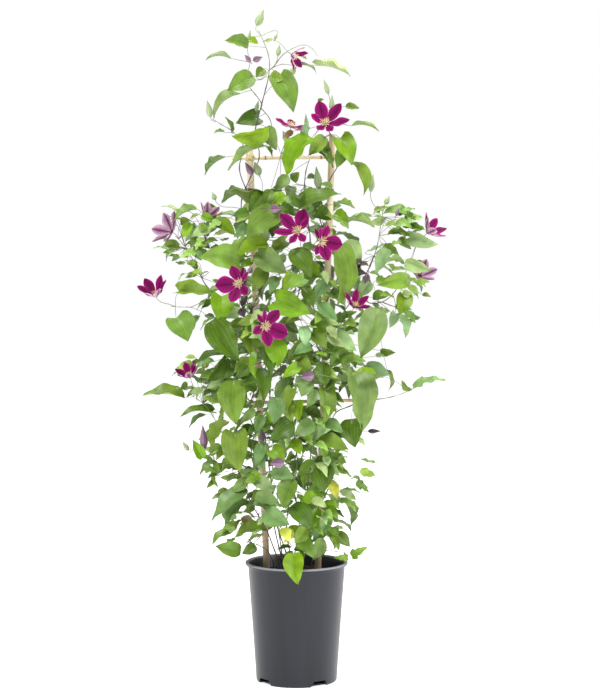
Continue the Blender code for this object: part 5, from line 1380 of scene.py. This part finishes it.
def fill(count, middle_turn, near, far, short, long):
    """Places small leaves by a rule: evenly up the column, at random turns and depths within it."""
    for index in range(count):
        height = FILL_LOW + (FILL_HIGH - FILL_LOW) * ((index * GOLDEN) % 1.0)
        turn = math.radians(middle_turn + (fill_turns.random() - 0.5) * FILL_TURN)
        share = near + (far - near) * fill_turns.random()
        droop = math.radians(FILL_DROOP[0] + FILL_DROOP[1] * fill_turns.random())
        length = short + (long - short) * fill_turns.random()
        twist = Vector((fill_turns.random() - 0.5, fill_turns.random() - 0.5, fill_turns.random()))
        width = column_width(height)
        out = level(turn)
        base = Vector((out.x * width * share, out.y * COLUMN_DEPTH * share, height))
        tip = base + (out * math.cos(droop) - Vector((0, 0, math.sin(droop)))) * length
        facing = out * math.sin(droop) + Vector((0, 0, math.cos(droop))) + twist * FILL_TWIST
        for lift in FILL_LIFTS if height < FILL_TOP else ():
            rise = Vector((0, 0, lift))
            if fit_leaf(base + rise, tip + rise, facing, length * FILL_WIDTH, length > LARGE_LEAF):
                break


def place_leaves(rows, shortest, longest):
    """Places the leaves of a table whose length lies between the two."""
    for row in rows:
        base, tip = seen(*row[:3]), seen(*row[3:6])
        if shortest <= (tip - base).length < longest:
            place_leaf(base, tip, row[6])
            note(row[7])


fill_turns = random.Random(FILL_SEED)
ranked = sorted(LEAVES, key=lambda row: math.hypot(row[0] - row[3], row[1] - row[4]), reverse=True)
place_leaves(ranked, SMALLEST_LEAF, math.inf)
for row in BUDS:
    end, finish = seen(*row[:3]), seen(*row[3:6])
    away = (finish - end).normalized()
    for shift in BUD_ROOMS:
        deeper = Vector((0, shift, 0))
        if place_stalked(end + deeper, away, finish + deeper, row[6]):
            break
    note("bud " + row[7])
for *rule, kind in FILLS:
    fill(*rule)
    note(kind)
place_leaves(ranked, 0, SMALLEST_LEAF)

# Leafy clumps round the canes and in the wings: middle (across, height, depth), half width, half
# height, number of small leaves, and the shortest and longest of them
CLUMPS = (
    (-16, 880, 14, 72, 22, 20, 22, 40), (-12, 815, 14, 84, 52, 48, 22, 46),
    (0, 710, 14, 108, 60, 58, 22, 48), (-8, 602, 14, 104, 54, 62, 20, 48),
    (-22, 480, 14, 84, 60, 62, 20, 46), (0, 375, 14, 88, 50, 54, 20, 42), (5, 295, 10, 70, 28, 24, 18, 36),
    (-75, 690, -38, 12, 60, 14, 24, 44), (-68, 575, -38, 12, 60, 15, 24, 44),
    (-60, 455, -38, 12, 60, 15, 24, 42), (-54, 330, -38, 12, 60, 8, 20, 36),
    (55, 700, -38, 12, 60, 12, 24, 44), (51, 575, -38, 12, 60, 15, 24, 44),
    (47, 455, -38, 12, 60, 15, 24, 42), (42, 340, -38, 12, 50, 8, 20, 36),
    (-178, 822, 0, 58, 42, 26, 16, 36), (-200, 780, 0, 38, 36, 14, 14, 32),
    (148, 776, 4, 46, 46, 12, 18, 40), (190, 842, 0, 52, 28, 14, 16, 36),
    (172, 702, 4, 40, 44, 12, 18, 38), (-122, 688, 4, 44, 44, 12, 18, 44),
    (-176, 556, 0, 30, 20, 6, 18, 34), (-146, 578, 0, 46, 36, 18, 18, 42),
    (-118, 468, 4, 42, 80, 30, 18, 44), (-96, 318, 4, 34, 60, 13, 18, 42),
    (124, 580, 4, 24, 24, 4, 18, 36), (98, 410, 4, 22, 50, 5, 18, 34), (205, 760, 0, 40, 50, 9, 14, 32),
    (8, 690, -24, 24, 70, 16, 26, 48), (6, 560, -24, 24, 70, 18, 26, 48),
    (6, 430, -24, 24, 70, 18, 24, 46), (2, 330, -18, 30, 36, 8, 22, 38),
)
CLUMP_SEED = 21
CLUMP_DEPTH = 52
WING_DEPTH = 30
WING_FROM = 50
CLUMP_TRIES = 7
SHORTEST_SPRIG = 4
LONGEST_SPRIG = 95
SPRIG_PIECES = 4
# How far a sprig leans and the way its leaf faces, as the least and the most of each direction,
# and the shares of its length that it may be wide
SPRIG_LEAN = ((-0.6, 0.6), (-0.6, 0.6), (-1.1, 0.5))
SPRIG_FACING = ((-0.8, 0.8), (-1.4, 0.2), (0.3, 1.0))
SPRIG_WIDTH = (0.42, 0.66)


def drawn_from(spans):
    """A number drawn from each span."""
    return [clump_turns.uniform(*span) for span in spans]


def sprig(start, length):
    """A small leaf on a stalk from the nearest stem, if there is room for its blade."""
    near = [((start - node).length, name, node) for name, nodes in NODES.items() for node in nodes[::2]]
    reach, name, root = min(near, key=lambda row: row[0])
    if not SHORTEST_SPRIG < reach < LONGEST_SPRIG:
        return False
    out = Vector((start.x, start.y, 0)).normalized()
    along = (out + Vector(drawn_from(SPRIG_LEAN))).normalized()
    end = start + along * length
    facing = Vector(drawn_from(SPRIG_FACING))
    width = length * clump_turns.uniform(*SPRIG_WIDTH)
    stub = [start - along * STALK_STUB / 2, start]
    points, faces, _ = leaf(stub, end, facing.normalized(), width, False, LEAF_GAP)
    if blocked(points, faces):
        return False
    remember(points, faces, name)
    path = stalk_path(root, start, along, facing, SPRIG_PIECES, BULGES[0])
    GROWN.append((name, path, end, facing.normalized(), width))
    return True


clump_turns = random.Random(CLUMP_SEED)
for across, height, depth, wide, high, count, short, long in CLUMPS:
    deep = CLUMP_DEPTH if abs(across) < WING_FROM else WING_DEPTH
    for _ in range(count):
        for _ in range(CLUMP_TRIES):
            aside, rise, back = drawn_from(((-wide, wide), (-high, high), (-deep, deep)))
            start = seen(across + aside, height + rise, depth + back)
            if sprig(start, clump_turns.uniform(short, long)):
                break
note("pair")

# Half outlines of leaf blades: share of the midrib, how far along its edge is, and width there
OVAL = ((0, 0, 0.06), (0.04, -0.02, 0.34), (0.12, 0.07, 0.7), (0.26, 0.24, 0.96), (0.43, 0.42, 1),
        (0.64, 0.64, 0.8), (0.82, 0.83, 0.45), (0.94, 0.95, 0.13), (1, 1, 0.012))
HEART = ((0, 0, 0.06), (0.04, -0.12, 0.42), (0.1, -0.12, 0.76), (0.22, 0.09, 0.99), (0.4, 0.36, 1),
         (0.6, 0.58, 0.82), (0.8, 0.8, 0.46), (0.93, 0.94, 0.14), (1, 1, 0.012))
LANCE = ((0, 0, 0.08), (0.06, 0.03, 0.4), (0.2, 0.18, 0.84), (0.4, 0.4, 1), (0.64, 0.64, 0.74),
         (0.84, 0.85, 0.32), (1, 1, 0.012))
LOBED = ((0, 0, 0.06), (0.06, -0.02, 0.5), (0.16, 0.14, 0.9), (0.26, 0.34, 1), (0.36, 0.36, 0.62),
         (0.52, 0.56, 0.7), (0.62, 0.66, 0.5), (0.8, 0.82, 0.36), (1, 1, 0.012))
# Forms of blades: outline, then arch, fold, wave, number of waves, droop and sway, then thickness,
# rows and columns
LEAF_FORMS = (
    (OVAL, (0.08, 0.3, 0.035, 2.3, 0.05, 0.08), (0.013,)),
    (OVAL, (0.05, 0.4, 0.045, 3.1, 0.1, -0.1), (0.013,)),
    (HEART, (0.1, 0.25, 0.035, 1.7, 0.1, 0.08), (0.013,)),
    (HEART, (0.06, 0.35, 0.04, 2.6, 0.05, -0.07), (0.013,)),
    (LANCE, (0.1, 0.2, 0.03, 2.2, 0.1, 0.12), (0.016, 10, 3)),
    (LOBED, (0.08, 0.2, 0.04, 3.0, 0.05), (0.018, 18, 3)),
    (OVAL, (0.12, 0.3, 0.04, 1.9, 0.1, -0.1), (0.018, 10, 3)),
    (OVAL, (-0.06, 0.15, 0.05, 2.6, -0.08, 0.1), (0.018, 10, 3)),
    (LANCE, (0.08, 0.3, 0.03, 1.4, 0.1, 0.2), (0.013,)),
    (LANCE, (0.08, 0.3, 0.03, 1.4, 0.1, -0.2), (0.013,)),
)
OVAL_FORM = 0
HEART_FORM = 3
HEART_LEAST = 62
# A bud's scale: share of its length and width there, how far round it wraps, and how many there are
BUD_SCALE = ((0, 0.3), (0.12, 0.72), (0.3, 1.0), (0.55, 0.82), (0.8, 0.4), (1, 0.03))
SCALE_WRAP = math.radians(58)
SCALES = 4
SCALE_TURN = 0.4


def bud_place(share, part):
    """One of the scales of a bud, wrapped round its axis."""
    turn = part * SCALE_WRAP
    reach = through(BUD_SCALE, share)[0] / 2 * (1 + 0.10 * part)
    return Vector((share, reach * math.sin(turn), reach * math.cos(turn)))


leaf_forms = gathered("leaf_forms", [blade_form("leaf_%d" % number, flat_place(edge, *shape), *build)
                                     for number, (edge, shape, build) in enumerate(LEAF_FORMS)])
bud_forms = gathered("bud_forms", [blade_form("scale_0", bud_place, 0.05, 12, 3)])

# Leaf: each blade has its own green. Paler veins arch from its base to its tip with a fine net
# between them, and its back is a duller grey green
leaf_look, tree = new_look("thin_green_leaf")
spot = add(tree, "ShaderNodeUVMap", uv_map="UVMap")
out = off_midrib(tree, spot)
nearest = add(tree, "ShaderNodeMath", {0: out, 1: 0.8}, operation="MULTIPLY")
for vein in (0.16, 0.31):
    gap = add(tree, "ShaderNodeMath", {0: out, 1: vein}, operation="SUBTRACT")
    far = add(tree, "ShaderNodeMath", {0: gap}, operation="ABSOLUTE")
    nearest = add(tree, "ShaderNodeMath", {0: nearest, 1: far}, operation="MINIMUM")
main_vein = add(tree, "ShaderNodeMapRange", {
    "Value": nearest, "From Min": 0.006, "From Max": 0.022, "To Min": 1.0, "To Max": 0.0})
sized = add(tree, "ShaderNodeMapping", {"Vector": spot, "Scale": (16, 9, 1)})
cells = add(tree, "ShaderNodeTexVoronoi", {"Vector": sized, "Scale": 1.0}, feature="DISTANCE_TO_EDGE")
net = add(tree, "ShaderNodeMapRange", {
    "Value": cells, "From Min": 0.02, "From Max": 0.14, "To Min": 0.12, "To Max": 0.0})
veins = add(tree, "ShaderNodeMath", {0: main_vein, 1: net}, operation="MAXIMUM")
tint = add(tree, "ShaderNodeAttribute", attribute_name="tint")
place = add(tree, "ShaderNodeTexCoord", out="Object")
cloud = add(tree, "ShaderNodeTexNoise", {"Vector": place, "Scale": 45.0, "Detail": 3.0})
clouded = shaded(tree, tint, cloud, 0.3, 0.7, 0.72, 1.22)
veined = add(tree, "ShaderNodeMath", {0: veins, 1: 0.1}, operation="MULTIPLY")
upper = add(tree, "ShaderNodeMix", {"Factor": veined, "A": clouded, "B": linear("B9CC7C")},
            data_type="RGBA")
dull = add(tree, "ShaderNodeMix", {"Factor": 0.5, "A": upper, "B": linear("8FA67C")}, data_type="RGBA")
under = add(tree, "ShaderNodeAttribute", out="Fac", attribute_name="underside")
both = add(tree, "ShaderNodeMix", {"Factor": under, "A": upper, "B": dull}, data_type="RGBA")
rough = add(tree, "ShaderNodeMapRange", {"Value": under, "To Min": 0.38, "To Max": 0.7})
bump = add(tree, "ShaderNodeBump", {"Strength": 0.1, "Distance": 0.0003, "Height": main_vein}, invert=True)
add(tree, "Principled BSDF", {"Base Color": both, "Roughness": rough, "Specular IOR Level": 0.34,
                              "Normal": bump})

# Bud scale: the tint of its bud, with darker ribs along it and a soft down
bud_look, tree = new_look("downy_bud_scale")
spot = add(tree, "ShaderNodeUVMap", uv_map="UVMap")
drawn = add(tree, "ShaderNodeMapping", {"Vector": spot, "Scale": (1.5, 16, 1)})
rib = add(tree, "ShaderNodeTexNoise", {"Vector": drawn, "Scale": 1.0, "Detail": 2.0})
tint = add(tree, "ShaderNodeAttribute", attribute_name="tint")
ribbed = shaded(tree, tint, rib, 0.35, 0.65, 0.6, 1.3)
add(tree, "Principled BSDF", {"Base Color": ribbed, "Roughness": 0.7, "Sheen Weight": 0.3})

# Stem: green with purple-brown flushes that grow towards the top, brown at its foot and pale green
# at its tip
stem_look, tree = new_look("wiry_green_and_purple_stem")
place = add(tree, "ShaderNodeTexCoord", out="Object")
flush = add(tree, "ShaderNodeTexNoise", {"Vector": place, "Scale": 11.0, "Detail": 2.0})
height = add(tree, "ShaderNodeSeparateXYZ", {"Vector": place}, out="Z")
for low, high, first, last in ((0.25, 1.05, -0.12, 0.22), (0.23, 0.4, 0.26, 0.0), (1.1, 1.17, 0.0, -0.34)):
    part = add(tree, "ShaderNodeMapRange", {
        "Value": height, "From Min": low, "From Max": high, "To Min": first, "To Max": last})
    flush = add(tree, "ShaderNodeMath", {0: flush, 1: part})
colour = add(tree, "ShaderNodeValToRGB", {"Fac": flush},
             stops=((0.42, "7C9448"), (0.54, "5E5B3A"), (0.66, "54404A")))
add(tree, "Principled BSDF", {"Base Color": colour, "Roughness": 0.55})

# Greens of each kind of leaf, and the numbers of the forms it may have. The dark green of d partly
# stands for painted shade, the pale grey green of e for a painted highlight, and the palest green of
# the pairs, A6C27E, partly for a painted highlight
GREENS = {
    "m": ("6A882A", "012"), "b": ("70914E", "014"), "d": ("48690A", "014"), "y": ("71980A", "012"),
    "p": ("A4B76F", "04"), "w": ("D4D854", "4"), "g": ("88AE22", "04"), "l": ("789F32", "5"),
    "t": ("8BAA5C", "5"), "h": ("73934E", "2"), "s": ("8DA84D", "47"), "e": ("94B478", "02"),
    "v": ("789D34", "0"), "r": ("8E7C54", "4"), "k": ("3C2C2E", "47"),
    "pair": ("82A442 8CAC4E A6C27E 6A8D32", "4567"),
}
BUD_COLOURS = {"bud g": ("A6B888", "90A46E"), "bud c": ("8E6F86", "6A4662"), "bud k": ("4C3044", "38222F")}
LEAF_SEED = 7
# How far the lightness of a leaf may vary, and between what shares its warmth
LIGHT_SPAN = 0.14
PAIR_LIGHT_SPAN = 0.3
WARMTH = (0.9, 1.12)
# How much wider than their plain forms the finished blades and bud scales are
LEAF_WIDER = 1.04
SCALE_WIDER = 1.05

leaf_turns = random.Random(LEAF_SEED)
for name in SHOOTS:
    leaves = []
    scales = []
    for (owner, path, end, facing, width), kind in zip(GROWN, KINDS):
        if owner != name:
            continue
        base = path[-1]
        tip_radius = STALK_RADIUS * (1.0 if kind.startswith(("bud", "flower")) else STALK_TAPER)
        radius = BLOOM_STALK_RADIUS if width < 1 else STALK_RADIUS
        STEM_LINES[name].append(fine_line(path, radius, tip_radius))
        sort = kind.rstrip("0123456789")
        if sort in GREENS:
            shades, choices = GREENS[sort]
            form = int(leaf_turns.choice(choices))
            if (end - base).length > HEART_LEAST and form == OVAL_FORM:
                form = HEART_FORM
            if kind != sort:
                form = int(kind[len(sort):])
            spare = PAIR_LIGHT_SPAN if sort == "pair" else LIGHT_SPAN
            light = leaf_turns.uniform(1 - spare, 1 + spare)
            warm = leaf_turns.uniform(*WARMTH)
            red, green, blue, _ = linear(leaf_turns.choice(shades.split()))
            colour = (red * light * warm, green * light, blue * light / warm, 1.0)
            leaves.append((base, end, facing, width * LEAF_WIDER, (end - base).length, form, colour))
        if kind in BUD_COLOURS:
            along = (end - base).normalized()
            aside = along.orthogonal().normalized()
            wide = width * SCALE_WIDER
            for number in range(SCALES):
                out = Quaternion(along, number * math.tau / SCALES + SCALE_TURN) @ aside
                colour = linear(BUD_COLOURS[kind][number % 2])
                scales.append((base - along, end, out, wide, wide, 0, colour))
    pieces = [spread(name + "_leaves", leaves, leaf_forms, leaf_look)]
    if scales:
        pieces.append(spread(name + "_buds", scales, bud_forms, bud_look))
    pieces.append(swept(name + "_stems", STEM_LINES[name], STEM_SKIN_SIDES, stem_look))
    for piece in pieces:
        settle(piece, None, ["shoot_" + name], 50 if piece == pieces[-1] else 45)
for group in (leaf_forms, bud_forms, tepal_forms):
    discard(group)

# Floor, light and camera
# The plant stands on a pale, even floor in soft daylight from a large window on its left and
# above, with a weaker light on its right, and is seen from a little above its middle.
FLOOR_REACH = 9000
# Lamps: name, place, size and power, and the height on the plant that they are turned to
LAMPS = (("window", (-0.9, -1.9, 3.5), 1.4, 96), ("right_fill", (2.8, -0.8, 1.6), 1.6, 48),
         ("top_light", (0.2, 0.5, 3.4), 1.6, 57))
LIT_HEIGHT = 0.65
EYE_LENS = 95.2
EYE_ACROSS = 0.0064
EYE_TILT = 87.0

floor = mesh_object("pale_floor", [(x * FLOOR_REACH, y * FLOOR_REACH, 0)
                                   for x, y in ((-1, -1), (1, -1), (1, 1), (-1, 1))], [(0, 1, 2, 3)])
floor_look, tree = new_look("matt_white_paper")
add(tree, "Principled BSDF", {
    "Base Color": (0.95, 0.95, 0.95, 1), "Roughness": 0.9, "Specular IOR Level": 0.1,
    "Emission Color": (1, 1, 1, 1), "Emission Strength": 0.65})
floor.data.materials.append(floor_look)

world = bpy.data.worlds.new("white_studio")
world.use_nodes = True
seen_by = add(world.node_tree, "ShaderNodeLightPath", out="Is Camera Ray")
glow = add(world.node_tree, "ShaderNodeMapRange", {"Value": seen_by, "To Min": 0.44, "To Max": 1.0})
add(world.node_tree, "Background", {"Color": (1, 1, 1, 1), "Strength": glow})
bpy.context.scene.world = world
for name, place, size, power in LAMPS:
    light = bpy.data.lights.new(name, "AREA")
    light.size = size
    light.energy = power
    lamp = bpy.data.objects.new(name, light)
    lamp.location = place
    lamp.rotation_euler = (Vector((0, 0, LIT_HEIGHT)) - Vector(place)).to_track_quat("-Z", "Y").to_euler()
    bpy.context.scene.collection.objects.link(lamp)

lens = bpy.data.cameras.new("eye")
lens.lens = EYE_LENS
eye = bpy.data.objects.new("eye", lens)
eye.location = (EYE_ACROSS, -EYE_DISTANCE * MM, EYE_HEIGHT * MM)
eye.rotation_euler = (math.radians(EYE_TILT), 0, 0)
bpy.context.scene.collection.objects.link(eye)
bpy.context.scene.camera = eye
bpy.context.scene.view_settings.view_transform = "Standard"
